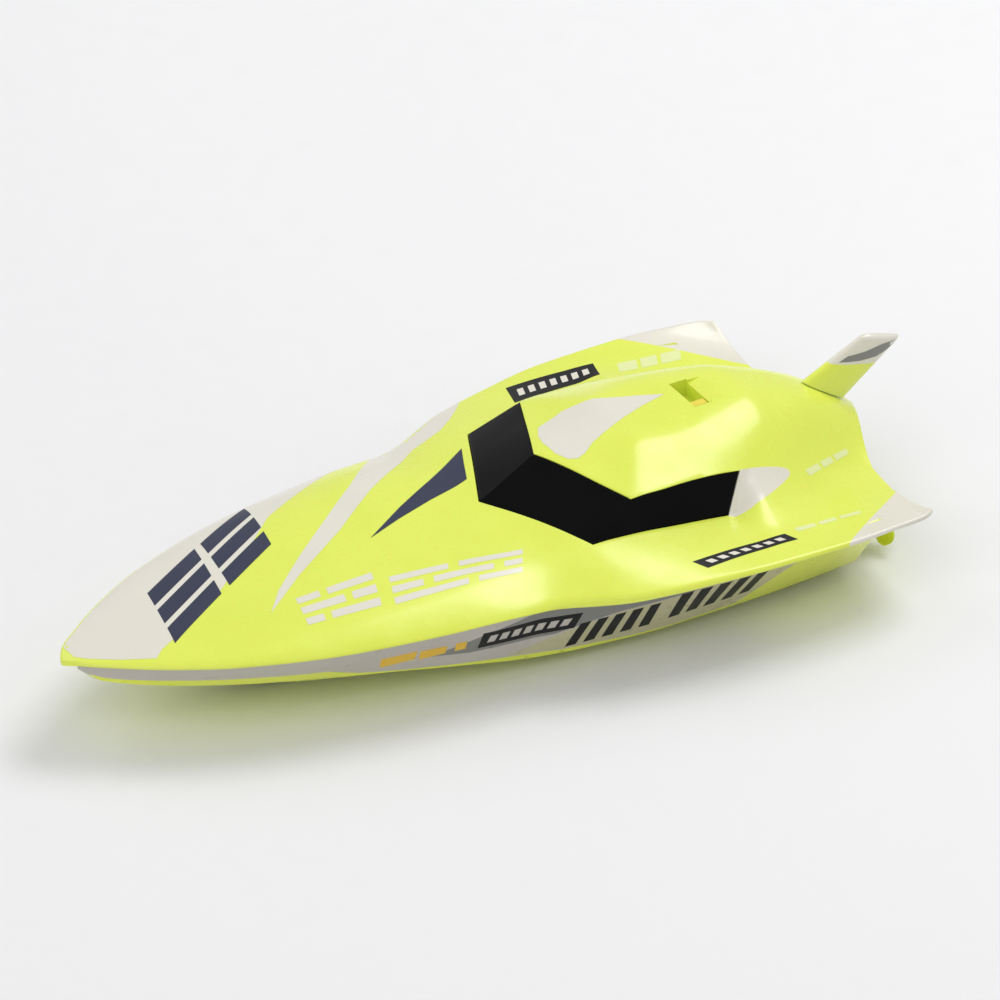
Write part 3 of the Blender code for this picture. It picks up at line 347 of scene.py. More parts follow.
yellow = (0.79, 0.88, 0.11)
yellowShade = (0.72, 0.82, 0.08)
looks = {
    "deck_shell": {
        "colour": yellow, "shade": yellowShade, "roughness": 0.27, "coat": 0.22, "coatRoughness": 0.13,
        "bump": 0.05, "glow": 0.10,
    },
    # The hull's yellow and its mottle tone are the deck's yellow made a little darker: painted shade, for the
    # hull side that lies in shade under the deck.
    "hull_shell": {
        "colour": (0.76, 0.84, 0.09), "shade": (0.69, 0.77, 0.065), "roughness": 0.22, "coat": 0.3,
        "bump": 0.05, "glow": 0.10,
    },
    "window": {
        "colour": (0.0025, 0.0025, 0.003), "shade": (0.005, 0.005, 0.0055), "roughness": 0.14,
        "specular": 0.08, "bump": 0.02, "mottle": 0.6,
    },
    "fin_plastic": {
        "colour": yellow, "shade": yellowShade, "roughness": 0.22, "coat": 0.3, "bump": 0.05, "glow": 0.10,
    },
    "inner_plastic": {
        "colour": (0.16, 0.17, 0.18), "shade": (0.12, 0.13, 0.14), "roughness": 0.55, "bump": 0.3,
    },
    "knob_plastic": {
        "colour": (0.30, 0.31, 0.32), "shade": (0.24, 0.25, 0.26), "roughness": 0.48, "bump": 0.3,
    },
    # The latch's orange-yellow is darker and warmer than the yellow plastic round it: painted shade, for how
    # the finger slot looks inside, where light scatters in the yellow walls.
    "latch_plastic": {
        "colour": (0.86, 0.72, 0.08), "shade": (0.80, 0.64, 0.05), "roughness": 0.38, "bump": 0.1,
    },
    "propeller_plastic": {
        "colour": (0.72, 0.84, 0.05), "shade": (0.60, 0.72, 0.03), "roughness": 0.28,
        "bump": 0.08, "glow": 0.15,
    },
    "rubber_parts": {
        "colour": (0.02, 0.02, 0.02), "shade": (0.035, 0.034, 0.033), "roughness": 0.75, "bump": 0.4,
    },
    "chip_resin": {"colour": (0.03, 0.03, 0.03), "shade": (0.02, 0.02, 0.02), "roughness": 0.6, "bump": 0.3},
    "cell_wrap": {
        "colour": (0.05, 0.16, 0.42), "shade": (0.04, 0.12, 0.34), "roughness": 0.3, "coat": 0.3, "bump": 0.1,
    },
    "foam": {
        "colour": (0.85, 0.85, 0.83), "shade": (0.74, 0.74, 0.71), "roughness": 0.9, "bump": 0.8,
        "bumpDepth": 0.0003, "grainScale": 900.0,
    },
    "board_resin": {
        "colour": (0.02, 0.20, 0.07), "shade": (0.015, 0.15, 0.05), "roughness": 0.4, "bump": 0.15,
    },
    "steel_parts": {
        "colour": (0.62, 0.62, 0.63), "shade": (0.50, 0.50, 0.51), "roughness": 0.28, "metallic": 1.0,
        "brush": (1.0, 12.0, 12.0), "bump": 0.15,
    },
    "brass_parts": {
        "colour": (0.72, 0.50, 0.20), "shade": (0.58, 0.38, 0.13), "roughness": 0.3, "metallic": 1.0,
        "brush": (1.0, 8.0, 8.0), "bump": 0.15,
    },
    "palePrint": ink((0.78, 0.75, 0.66), (0.73, 0.70, 0.61), 0.30),
    "beigePrint": ink((0.52, 0.50, 0.30), (0.46, 0.44, 0.26), 0.32),
    "hullPrint": ink((0.52, 0.49, 0.45), (0.46, 0.43, 0.39), 0.32),
    "softPrint": ink((0.80, 0.86, 0.42), (0.76, 0.83, 0.36), 0.30),
    "slatePrint": ink((0.034, 0.040, 0.075), (0.046, 0.052, 0.09), 0.4, coat=0.0, specular=0.25),
    "darkPrint": ink((0.008, 0.008, 0.009), (0.014, 0.014, 0.016), 0.4, coat=0.0, specular=0.22),
    "midPrint": ink((0.20, 0.20, 0.19), (0.26, 0.26, 0.24), 0.34),
    "orangePrint": ink((0.80, 0.50, 0.03), (0.74, 0.44, 0.02), 0.30),
}
materials = {name: makeMaterial(name, look) for name, look in looks.items()}


# Mesh helpers
def link(name, shape, used, bodyName, sharp=35.0):
    mesh = bpy.data.meshes.new(name)
    shape.to_mesh(mesh)
    shape.free()
    for item in used:
        mesh.materials.append(materials[item])
    mesh.shade_smooth()
    mesh.set_sharp_from_angle(angle=math.radians(sharp))
    piece = bpy.data.objects.new(name, mesh)
    bpy.context.scene.collection.objects.link(piece)
    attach(piece, bodyName)
    return piece


def turnUp(shape):
    bmesh.ops.recalc_face_normals(shape, faces=shape.faces)
    if sum(face.normal.z * face.calc_area() for face in shape.faces) < 0:
        bmesh.ops.reverse_faces(shape, faces=shape.faces[:])


def addSolidify(piece, wall):
    change = piece.modifiers.new("wall", "SOLIDIFY")
    change.thickness = wall * mm
    change.offset = -1.0
    return change


def addRounding(piece, width, angle=50.0, segments=2):
    change = piece.modifiers.new("rounding", "BEVEL")
    change.width = width * mm
    change.segments = segments
    change.limit_method = "ANGLE"
    change.angle_limit = math.radians(angle)


def addBoolean(piece, other, kind):
    change = piece.modifiers.new(kind.lower(), "BOOLEAN")
    change.operation = kind
    change.solver = "EXACT"
    change.object = other


def bisectFaces(shape, faces, spot, normal, snap):
    edges = list(dict.fromkeys(edge for face in faces for edge in face.edges))
    verts = list(dict.fromkeys(vert for face in faces for vert in face.verts))
    bmesh.ops.bisect_plane(shape, geom=faces + edges + verts, plane_co=spot, plane_no=normal, dist=snap)


def guideBlock(name, corners, depthLow):
    # A guide for a Boolean: four (station, breadth, height) top corners and the height under each.
    shape = bmesh.new()
    top = [shape.verts.new(place(*corner)) for corner in corners]
    low = [shape.verts.new(place(s, y, lowZ)) for (s, y, _), lowZ in zip(corners, depthLow)]
    shape.faces.new(top)
    shape.faces.new(list(reversed(low)))
    for index in range(4):
        after = (index + 1) % 4
        shape.faces.new((top[after], top[index], low[index], low[after]))
    bmesh.ops.recalc_face_normals(shape, faces=shape.faces)
    mesh = bpy.data.meshes.new(name)
    shape.to_mesh(mesh)
    shape.free()
    guide = bpy.data.objects.new(name, mesh)
    bpy.context.scene.collection.objects.link(guide)
    return guide


def applyAll(piece, guides=()):
    # Bakes the modifiers in, so that the guides can go.
    depsgraph = bpy.context.evaluated_depsgraph_get()
    mesh = bpy.data.meshes.new_from_object(piece.evaluated_get(depsgraph))
    old = piece.data
    piece.modifiers.clear()
    piece.data = mesh
    bpy.data.meshes.remove(old)
    for guide in guides:
        bpy.data.objects.remove(guide, do_unlink=True)
    mesh.shade_smooth()
    mesh.set_sharp_from_angle(angle=math.radians(35.0))


# Upper deck
deckLook = {"wall": 1.5, "perRow": 8, "edgeRounding": 0.22}
thinLook = {"share": 0.06, "reach": 16.0}  # how thin the wall is at the bow, and where it is full
columnSteps = [step / 4 for step in range(40)] + [10 + step / 6 for step in range(7)] + [11.5, 12.0]


def deckCellIsWindow(r, c):
    front = screenRow <= r < screenRow + 1 and c < lowEnd
    side = screenRow + 1 <= r < rearRow and roofEnd <= c < lowEnd
    return front or side


def deckOuter():
    shape = bmesh.new()
    perRow = deckLook["perRow"]
    rowSteps = [index / perRow for index in range((len(deckRows) - 1) * perRow + 1)]
    for side in (1, -1):
        grid = {}
        for i, r in enumerate(rowSteps[:-1]):
            for j, c in enumerate(columnSteps[:-1]):
                middle = ((r + rowSteps[i + 1]) / 2, (c + columnSteps[j + 1]) / 2)
                if deckCellIsWindow(*middle):
                    continue
                onRoof = middle[1] < lowEnd and middle[0] > screenRow + 0.5
                corners = []
                for a, b in ((i, j), (i + 1, j), (i + 1, j + 1), (i, j + 1)):
                    if (a, b) not in grid:
                        row = rowSteps[a]
                        if onRoof and row <= screenRow + 1:
                            row = screenRow + 1 + hair
                        spot = deckSpot(row, columnSteps[b])
                        spot.y *= side
                        grid[(a, b)] = shape.verts.new(spot)
                    corners.append(grid[(a, b)])
                shape.faces.new(corners if side > 0 else list(reversed(corners)))
    bmesh.ops.remove_doubles(shape, verts=shape.verts, dist=hair)
    bmesh.ops.delete(shape, geom=[v for v in shape.verts if not v.link_faces], context="VERTS")
    turnUp(shape)
    return shape


deckShape = deckOuter()
deckTree = BVHTree.FromBMesh(deckShape)


def isInside(point, outline, margin=0.0):
    x, y = point
    inside = False
    for (a, b), (c, d) in zip(outline, outline[1:] + outline[:1]):
        if (b > y) != (d > y) and x < (c - a) * (y - b) / (d - b) + a:
            inside = not inside
        if distanceTo(x, y, (a, b), (c, d)) < margin:
            return False
    return inside


# The pale patch behind each side window, as (station, breadth), and the pale wing tips,
# which start at a straight line.
rearPrint = {
    "outline": [
        (178.0, 32.6), (185.0, 26.9), (188.7, 26.6), (192.9, 26.3), (196.8, 26.0), (198.9, 25.9),
        (199.9, 26.1), (200.2, 26.7), (199.5, 27.5), (198.4, 28.3), (195.7, 30.0), (192.8, 31.6),
        (189.9, 33.1), (186.9, 34.4), (183.4, 34.9), (179.3, 34.0),
    ],
    "room": 3.0,  # how far round the patch the faces are cut
}
tipPrint = {"inner": (226.5, 36.0), "outer": (198.5, 58.2), "inboard": 0.03, "foremost": -0.07}


def cutPatch(shape, outline, sign):
    # Cuts the faces along an outline in plan and gives the part inside it the pale finish.
    def plan(face):
        middle = face.calc_center_median()
        return (bowX - middle.x) / mm, middle.y * sign / mm

    def isNear(face):
        station, breadth = plan(face)
        return lowS - room < station < highS + room and lowY - room < breadth < highY + room

    room = rearPrint["room"]
    lowS, highS = min(p[0] for p in outline), max(p[0] for p in outline)
    lowY, highY = min(p[1] for p in outline), max(p[1] for p in outline)
    for a, b in zip(outline, outline[1:] + outline[:1]):
        start, end = place(a[0], a[1] * sign, 0), place(b[0], b[1] * sign, 0)
        normal = Vector((end.y - start.y, start.x - end.x, 0)).normalized()
        bisectFaces(shape, [face for face in shape.faces if isNear(face)], start, normal, 1e-7)
    for face in shape.faces:
        if isNear(face) and isInside(plan(face), outline):
            face.material_index = 1


def cutTip(shape, side):
    (a, b), (c, d) = tipPrint["inner"], tipPrint["outer"]
    start = place(a, b * side, 0)
    run = place(c, d * side, 0) - start
    normal = Vector((-run.y, run.x, 0)).normalized() * side
    if normal.x > 0:
        normal = -normal
    wing = [face for face in shape.faces if face.calc_center_median().y * side > tipPrint["inboard"]]
    wing = [face for face in wing if face.calc_center_median().x < tipPrint["foremost"]]
    bisectFaces(shape, wing, start, normal, hair)
    for face in shape.faces:
        middle = face.calc_center_median()
        if middle.y * side > tipPrint["inboard"] and (middle - start).dot(normal) > 0:
            face.material_index = 1


# The finger slot in the roof: a walled pocket, its opening, a slit for the latch and a ramp aft
slotLook = {
    "station": 186.5, "along": 5.2, "across": 12.8, "depth": 4.8, "above": 3.0,
    "wall": 1.5, "floorWall": 1.2, "sunk": 0.7,
    "slitHalf": 1.5, "slitFrom": -0.6, "slitTo": 5.0, "slitRoom": (1.0, 3.0),
    "ramp": 4.6, "rampShare": 0.9, "rampOverlap": 0.5, "rampDepth": 1.15, "rampEnd": 0.05,
}


def topCorners(low, high, near, far, height):
    return [(low, near, height), (low, far, height), (high, far, height), (high, near, height)]


def slotGuides():
    # Each guide with the Boolean that uses it, in order.
    look = slotLook
    station, halfAcross = look["station"], look["across"] / 2
    low, high = station - look["along"] / 2, station + look["along"] / 2
    roof = along(roofHeight, station)
    floor = roof - look["depth"]
    wall, slit = look["wall"], look["slitHalf"]
    spread, wide = halfAcross + wall, halfAcross * look["rampShare"]
    slitTop, slitFloor = floor + look["slitRoom"][0], floor - look["slitRoom"][1]
    rampLow, rampHigh = roof - look["rampDepth"], roof + look["rampEnd"]
    pocket = topCorners(low - wall, high + wall, -spread, spread, roof - look["sunk"])
    opening = topCorners(low, high, -halfAcross, halfAcross, roof + look["above"])
    slitTops = topCorners(station - slit, station + slit, look["slitFrom"], look["slitTo"], slitTop)
    scoop = topCorners(high - look["rampOverlap"], high + look["ramp"], -wide, wide, roof + 1)
    return [
        (guideBlock("slotPocket", pocket, [floor - look["floorWall"]] * 4), "UNION"),
        (guideBlock("slotOpening", opening, [floor] * 4), "DIFFERENCE"),
        (guideBlock("latchSlit", slitTops, [slitFloor] * 4), "DIFFERENCE"),
        (guideBlock("slotRamp", scoop, [rampLow, rampLow, rampHigh, rampHigh]), "DIFFERENCE"),
    ]


def addWall(piece, wall):
    # The wall gets thinner towards the bow, where two full walls have no room.
    thin = piece.vertex_groups.new(name="wall")
    for vert in piece.data.vertices:
        station = (bowX - vert.co.x) / mm
        thin.add([vert.index], mix(thinLook["share"], 1.0, smooth(station / thinLook["reach"])), "REPLACE")
    addSolidify(piece, wall).vertex_group = "wall"


def makeDeck(shape):
    for side in (1, -1):
        cutPatch(shape, rearPrint["outline"], side)
    for side in (1, -1):
        cutTip(shape, side)
    deck = link("deckSkin", shape, ["deck_shell", "palePrint"], body["cover"])
    addWall(deck, deckLook["wall"])
    addRounding(deck, deckLook["edgeRounding"])
    guides = slotGuides()
    for guide, kind in guides:
        addBoolean(deck, guide, kind)
    applyAll(deck, [guide for guide, kind in guides])
    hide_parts("upper_deck")


makeDeck(deckShape)
print("stage: deck")


# Windscreen and side windows: one black moulding
screenLook = {
    "gap": 0.10, "recess": 0.18, "wall": 0.6, "rounding": 0.25, "sharp": 12.0,
    "crown": 0.35, "frontCrown": 0.4, "crownTowards": (0.25, 0.6, 0.75),  # how the panes bulge
    "height": 16.0, "steps": 28, "rows": 14,
}


# The window's two long edges: u runs from 0 on the centreline over 1 at the corner to 2 aft.
def lowCurve(u):
    if u <= 1.0:
        return deckSpot(screenRow, lowEnd * u)
    return deckSpot(mix(screenRow, rearRow, (u - 1) ** 0.9), lowEnd)


def topCurve(u):
    if u <= 1.0:
        return deckSpot(screenRow + 1 + hair, roofEnd * u)
    return deckSpot(mix(screenRow + 1 + hair, rearRow, u - 1), roofEnd)


def screenSpot(u, t):
    spot = lowCurve(u).lerp(topCurve(u), t)
    bulge = 0.0 if u in (0, 1, 2) else 4 * t * (1 - t) * math.sin(math.pi * (u % 1.0))
    towards = Vector(screenLook["crownTowards"]).normalized()
    return spot + towards * screenLook["crown"] * mm * bulge * (1 if u > 1 else screenLook["frontCrown"])


def makeScreen():
    shape = bmesh.new()
    steps, rows = screenLook["steps"], screenLook["rows"]
    trim = screenLook["gap"] / screenLook["height"]
    for side in (1, -1):
        grid = []
        for i in range(2 * steps + 1):
            u = min(i / steps, 2 - trim)
            line = []
            for j in range(rows + 1):
                spot = screenSpot(u, mix(trim, 1 - trim, j / rows))
                spot.y *= side
                line.append(shape.verts.new(spot))
            grid.append(line)
        for a, b in zip(grid, grid[1:]):
            for j in range(rows):
                shape.faces.new((a[j], b[j], b[j + 1], a[j + 1]))
    bmesh.ops.remove_doubles(shape, verts=shape.verts, dist=hair)
    turnUp(shape)
    shape.normal_update()
    for vert in shape.verts:
        vert.co -= vert.normal * screenLook["recess"] * mm
    screen = link("screenMoulding", shape, ["window"], body["cover"], screenLook["sharp"])
    addSolidify(screen, screenLook["wall"])
    addRounding(screen, screenLook["rounding"], 55.0)
    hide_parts("windscreen")


makeScreen()
print("stage: windows")


# Tail fin with its printed tip, as (station, height)
finLook = {
    "rootFront": (220.4, 35.7), "rootRear": (232.4, 27.7),
    "tipFront": (238.7, 44.5), "tipRear": (249.8, 40.85),
    "rootThickness": 4.6, "tipThickness": 3.0, "printLine": ((226.0, 39.8), (241.2, 35.8)),
    "stripe": [
        (230.4, 39.2), (233.0, 40.2), (238.5, 40.2), (243.5, 40.8), (247.6, 40.6), (247.6, 39.5),
        (244.6, 38.4), (241.4, 37.7), (236.6, 38.0),
    ],
    "stripeLift": 0.05,
    "tipFrom": 0.92, "tipClose": 0.85, "tipInset": (0.40, 0.24),  # how the tip rounds off
    "section": (0.75, 0.85), "sides": 64,
}


def pairMix(a, b, share):
    return (mix(a[0], b[0], share), mix(a[1], b[1], share))


def finRing(share):
    front = pairMix(finLook["rootFront"], finLook["tipFront"], share)
    rear = pairMix(finLook["rootRear"], finLook["tipRear"], share)
    lift = max(0.0, (share - finLook["tipFrom"]) / (1 - finLook["tipFrom"]))
    close = math.sqrt(max(0.0, 1 - lift * lift * finLook["tipClose"]))
    thickness = mix(finLook["rootThickness"], finLook["tipThickness"], share) * close
    frontInset, rearInset = [0.5 * (1 - close) * part for part in finLook["tipInset"]]
    front, rear = pairMix(front, rear, frontInset), pairMix(rear, front, rearInset)
    middle = pairMix(front, rear, 0.5)
    long, wide = finLook["section"]
    ring = []
    for step in range(finLook["sides"]):
        angle = 2 * math.pi * step / finLook["sides"]
        lengthwise = math.copysign(abs(math.cos(angle)) ** long, math.cos(angle))
        across = math.copysign(abs(math.sin(angle)) ** wide, math.sin(angle))
        spot = pairMix(middle, front, lengthwise)
        ring.append(place(spot[0], across * thickness / 2, spot[1]))
    return ring


def makeFin():
    shape = bmesh.new()
    sides, tip = finLook["sides"], finLook["tipFrom"]
    shares = [i / 30 for i in range(28)] + [tip + (1 - tip) * math.sin(i * math.pi / 20) for i in range(11)]
    rings = [[shape.verts.new(spot) for spot in finRing(share)] for share in shares]
    for a, b in zip(rings, rings[1:]):
        for step in range(sides):
            shape.faces.new((a[step], a[(step + 1) % sides], b[(step + 1) % sides], b[step]))
    shape.faces.new(list(reversed(rings[0])))
    shape.faces.new(rings[-1])
    (frontStation, frontHeight), (rearStation, rearHeight) = finLook["printLine"]
    start = place(frontStation, 0, frontHeight)
    run = place(rearStation, 0, rearHeight) - start
    normal = Vector((run.z, 0, -run.x)).normalized()
    normal = normal if normal.z > 0 else -normal
    bisectFaces(shape, shape.faces[:], start, normal, hair)
    for face in shape.faces:
        if (face.calc_center_median() - start).dot(normal) > 0:
            face.material_index = 1
    bmesh.ops.recalc_face_normals(shape, faces=shape.faces)
    tree = BVHTree.FromBMesh(shape)
    fin = link("finSkin", shape, ["fin_plastic", "palePrint"], body["cover"], 50.0)
    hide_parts("tail_fin")
    return tree


finTree = makeFin()
print("stage: fin")


# Lower hull
hullLook = {
    "wall": 1.7, "stations": 150, "first": 2.2, "length": 211.3, "packing": 1.15,
    "floorSteps": 10, "sideSteps": 10, "rounding": 0.3,
    "strake": 0.45, "strakeFrom": 40.0, "strakeRun": 30.0, "strakeHalf": 0.12,
    "foreEnd": 118.0, "foreInset": 2.4, "foreLeast": 0.5,  # forward of here the deck's edge leads
    "flareTop": 21.0,  # the height where the side reaches the gunwale's breadth
    "lipGap": 0.12, "deckGap": 0.6, "mostDrop": 0.8, "dropFrom": 108.0, "dropRun": 16.0,
    "noseFrom": 0.6, "noseRise": 8.0,  # the bottom comes up to the deck at the bow
    "capGap": 0.9, "capTall": 0.42, "capShares": [0.85, 0.7, 0.55, 0.45, 0.38, 0.32, 0.26, 0.18, 0.09],
}


def gunwale(station):
    if station < hullLook["foreEnd"]:
        edge = along(deckEdge, station)
        return max(edge - hullLook["foreInset"], hullLook["foreLeast"] * edge)
    return along(gunwaleBreadth, station)


def hullSide(station, height):
    low = along(chineHeight, station)
    share = (height - low) / (hullLook["flareTop"] - low)
    return mix(along(chineBreadth, station), gunwale(station), share)


def hullTop(station):
    # Just under the deck's lip forward, and inside the lip, up against the deck, aft.
    flush = along(edgeHeight, station) - along(lipDepth, station) - hullLook["lipGap"]
    breadth = hullSide(station, flush)
    under = plainDeck(station, breadth) - deckLook["wall"] - hullLook["deckGap"]
    blend = smooth((station - hullLook["dropFrom"]) / hullLook["dropRun"])
    return mix(flush, max(under, flush - hullLook["mostDrop"]), blend)


def hullProfile(station):
    # Half a section from the keel over the chine to the top, as (breadth, height).
    keel, pad = along(keelHeight, station), along(padBreadth, station)
    chine, chineZ = along(chineBreadth, station), along(chineHeight, station)
    pad = min(pad, 0.7 * chine)
    spots = [(pad * i / 4, keel) for i in range(5)]
    ridge = hullLook["strake"] * smooth((station - hullLook["strakeFrom"]) / hullLook["strakeRun"])
    for i in range(1, hullLook["floorSteps"] + 1):
        share = i / hullLook["floorSteps"]
        bump = ridge * max(0.0, 1 - abs(share - 0.5) / hullLook["strakeHalf"])
        spots.append((mix(pad, chine, share), mix(keel, chineZ, share) - bump))
    top = hullTop(station)
    rise = 1 - smooth((station - hullLook["noseFrom"]) / hullLook["noseRise"])
    chineZ = mix(chineZ, top, rise)
    spots = [(breadth, mix(height, top, rise)) for breadth, height in spots]
    for i in range(1, hullLook["sideSteps"] + 1):
        height = mix(chineZ, top, i / hullLook["sideSteps"])
        spots.append((hullSide(station, height), height))
    return spots


def closeEnd(shape, station):
    # One face across the bow or the transom, whose top stays under the deck.
    ring = [v for v in shape.verts if abs(v.co.x - bowX + station * mm) < hair]
    port = sorted([v for v in ring if v.co.y > hair], key=lambda v: (round(v.co.z, 6), v.co.y))
    centre = [v for v in ring if abs(v.co.y) <= hair]
    starboard = []
    for vert in port:
        opposite = Vector((vert.co.x, -vert.co.y, vert.co.z))
        starboard.append(min(ring, key=lambda v: (v.co - opposite).length))
    corner = port[-1].co / mm
    shares = hullLook["capShares"]
    top = []
    for share in shares + [0.0] + [-share for share in reversed(shares)]:
        breadth = share * corner.y
        height = cabinDeck(station, breadth) - deckLook["wall"] - hullLook["capGap"]
        if abs(share) > hullLook["capTall"] or station < hullLook["foreEnd"]:
            height = min(height, corner.z)
        top.append(shape.verts.new(place(station, breadth, height)))
    shape.faces.new(centre + port + top + list(reversed(starboard)))


def makeHull():
    shape = bmesh.new()
    count, packing = hullLook["stations"], hullLook["packing"]
    stations = [hullLook["first"] + hullLook["length"] * (i / count) ** packing for i in range(count + 1)]
    for side in (1, -1):
        grid = [[shape.verts.new(place(s, y * side, z)) for y, z in hullProfile(s)] for s in stations]
        for a, b in zip(grid, grid[1:]):
            for j in range(len(a) - 1):
                shape.faces.new((a[j], a[j + 1], b[j + 1], b[j]))
    bmesh.ops.remove_doubles(shape, verts=shape.verts, dist=hair)
    closeEnd(shape, stations[0])
    closeEnd(shape, stations[-1])
    bmesh.ops.recalc_face_normals(shape, faces=shape.faces)
    lowest = min(shape.faces, key=lambda f: f.calc_center_median().z)
    if lowest.normal.z > 0:
        bmesh.ops.reverse_faces(shape, faces=shape.faces[:])
    hull = link("hullSkin", shape, ["hull_shell"], body["hull"], 28.0)
    addWall(hull, hullLook["wall"])
    addRounding(hull, hullLook["rounding"], 60.0)
    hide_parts("lower_hull")


makeHull()
print("stage: hull")


# Printed films, a few hundredths of a millimetre thick, laid on the plastic
filmLook = {"lift": 0.06, "sunk": 0.03, "step": 1.3, "ringStep": 0.8, "edgeRoom": 0.55, "probe": 0.2}


def facing(middle, first, second, isOut):
    # A surface's place and the way it faces, from two more places beside it.
    normal = (first - middle).cross(second - middle).normalized()
    return middle, normal if isOut(normal) else -normal


def deckPoint(station, breadth):
    hit = deckTree.ray_cast(Vector((bowX - station * mm, breadth * mm, 0.2)), Vector((0, 0, -1)))
    if hit[0] is None:
        return None
    return place(station, breadth, hit[0].z / mm)


def deckFilm(station, breadth):
    probe = filmLook["probe"]
    spots = [deckPoint(station + a, breadth + b) for a, b in ((0, 0), (probe, 0), (0, probe))]
    return None if None in spots else facing(*spots, lambda normal: normal.z > 0)


def sideFilm(sign):
    def spot(station, height):
        return place(station, hullSide(station, height) * sign, height)

    def surface(station, height):
        probe = filmLook["probe"]
        spots = [spot(station, height), spot(station + probe, height), spot(station, height + probe)]
        return facing(*spots, lambda normal: normal.y * sign > 0)
    return surface


def finFilm(sign):
    def spot(station, height):
        return finTree.ray_cast(place(station, 20.0 * sign, height), Vector((0, -sign, 0)))[0]

    def surface(station, height):
        probe = filmLook["probe"]
        spots = [spot(station, height), spot(station + probe, height), spot(station, height + probe)]
        return None if None in spots else facing(*spots, lambda normal: normal.y * sign > 0)
    return surface


def densify(outline, step):
    points = []
    for (a, b), (c, d) in zip(outline, outline[1:] + outline[:1]):
        count = max(1, int(math.hypot(c - a, d - b) / step))
        points += [(mix(a, c, i / count), mix(b, d, i / count)) for i in range(count)]
    return points


def addFilm(shape, outline, surface, lift):
    # Fills the outline with points, joins them to triangles, and closes a thin film round them.
    step = filmLook["step"]
    ring = densify(outline, filmLook["ringStep"])
    points = list(ring)
    lowA, highA = min(p[0] for p in ring), max(p[0] for p in ring)
    lowB, highB = min(p[1] for p in ring), max(p[1] for p in ring)
    for i in range(int((highA - lowA) / step) + 1):
        for j in range(int((highB - lowB) / step) + 1):
            point = (lowA + (i + 0.5) * step, lowB + (j + 0.5) * step)
            if isInside(point, ring, filmLook["edgeRoom"] * step):
                points.append(point)
    found = geometry.delaunay_2d_cdt([Vector(p) for p in points], [], [list(range(len(ring)))], 1, 1e-5)
    spots = [surface(p.x, p.y) for p in found[0]]
    top, low, borders = {}, {}, {}
    for face in found[2]:
        if any(spots[index] is None for index in face):
            continue
        for index in face:
            if index not in top:
                middle, normal = spots[index]
                top[index] = shape.verts.new(middle + normal * lift * mm)
                low[index] = shape.verts.new(middle - normal * filmLook["sunk"] * mm)
        shape.faces.new([top[index] for index in face])
        shape.faces.new([low[index] for index in reversed(face)])
        for a, b in zip(face, list(face[1:]) + [face[0]]):
            if (b, a) in borders:
                del borders[(b, a)]
            else:
                borders[(a, b)] = True
    for a, b in borders:
        shape.faces.new((top[b], top[a], low[a], low[b]))


def makeFilm(name, outlines, surface, material, bodyName, lift=None):
    shape = bmesh.new()
    for outline in outlines:
        addFilm(shape, outline, surface, lift or filmLook["lift"])
    bmesh.ops.recalc_face_normals(shape, faces=shape.faces)
    return link(name, shape, [material], bodyName, 40.0)


def deckPrint(name, outlines, finish, lift=None):
    makeFilm(name, outlines, deckFilm, finish, body["cover"], lift)


def stripes(corners, bars, slant=0.0):
    # Cuts a four-sided area into bars, each given as (start, end, low, high) shares of it.
    def at(lengthwise, across):
        near = pairMix(a, b, lengthwise + slant * across)
        far = pairMix(d, c, lengthwise + slant * across)
        return pairMix(near, far, across)

    a, b, c, d = corners
    result = []
    for start, end, low, high in bars:
        result.append([at(start, low), at(end, low), at(end, high), at(start, high)])
    return result


def edgeLine(start, end, inset, sign, count=14):
    stations = [mix(start, end, i / count) for i in range(count + 1)]
    return [(s, sign * (along(deckEdge, s) - inset)) for s in stations]


# Deck prints, as (station, breadth) with port positive
nosePrint = {
    "border": [
        (2.8, 1.7), (3.8, 3.0), (5.0, 4.3), (7.5, 6.2), (12.0, 9.4), (19.9, 13.9), (22.6, 11.8), (27.1, 9.9),
        (37.9, 3.9), (47.9, -1.9), (57.6, -9.1), (65.0, -15.6), (71.7, -21.6), (75.6, -25.2), (85.3, -30.5),
        (94.3, -35.4), (104.0, -40.8),
    ],
    "farFrom": 105.0, "farTo": 2.8, "farInset": 1.0,
}
farEdge = edgeLine(nosePrint["farFrom"], nosePrint["farTo"], nosePrint["farInset"], -1, 60)
deckPrint("printNose", [nosePrint["border"] + farEdge], "palePrint")

# Two dark slanted blocks of three bars each, generic racing marks
blockPrint = {
    "near": [(32.2, -11.9), (52.8, -23.4), (47.4, -0.5), (26.7, 11.5)],
    "far": [(55.3, -24.7), (75.0, -36.2), (69.3, -12.8), (51.0, -2.5)],
    "bars": [(0.0, 1.0, 0.0, 0.27), (0.0, 1.0, 0.36, 0.63), (0.0, 1.0, 0.72, 1.0)],
    "lift": 0.09,
}
blocks = stripes(blockPrint["near"], blockPrint["bars"]) + stripes(blockPrint["far"], blockPrint["bars"])
deckPrint("printBlocks", blocks, "slatePrint", blockPrint["lift"])

swooshPrint = {
    "near": [(53.4, 14.2), (60.0, 6.7), (72.3, -3.8), (86.3, -14.7), (100.7, -26.3), (114.1, -39.6)],
    "far": [
        (146.0, -49.0), (141.0, -44.0), (135.7, -39.9), (125.0, -36.0), (118.1, -30.5),
        (103.3, -20.7), (87.0, -8.4), (67.8, 3.7),
    ],
    "edgeFrom": 117.0, "edgeTo": 149.0, "edgeInset": 0.9,
}
farEdge = edgeLine(swooshPrint["edgeFrom"], swooshPrint["edgeTo"], swooshPrint["edgeInset"], -1)
deckPrint("printSwoosh", [swooshPrint["near"] + farEdge + swooshPrint["far"]], "palePrint")

wedgePrint = {
    "outline": [
        (91.6, -0.8), (105.3, -9.2), (118.6, -16.5), (133.2, -25.1), (129.6, -18.0), (126.2, -10.8),
        (122.0, -9.6), (113.5, -7.8), (102.7, -4.7),
    ],
    "lift": 0.07,
}
deckPrint("printWedge", [wedgePrint["outline"]], "slatePrint", wedgePrint["lift"])

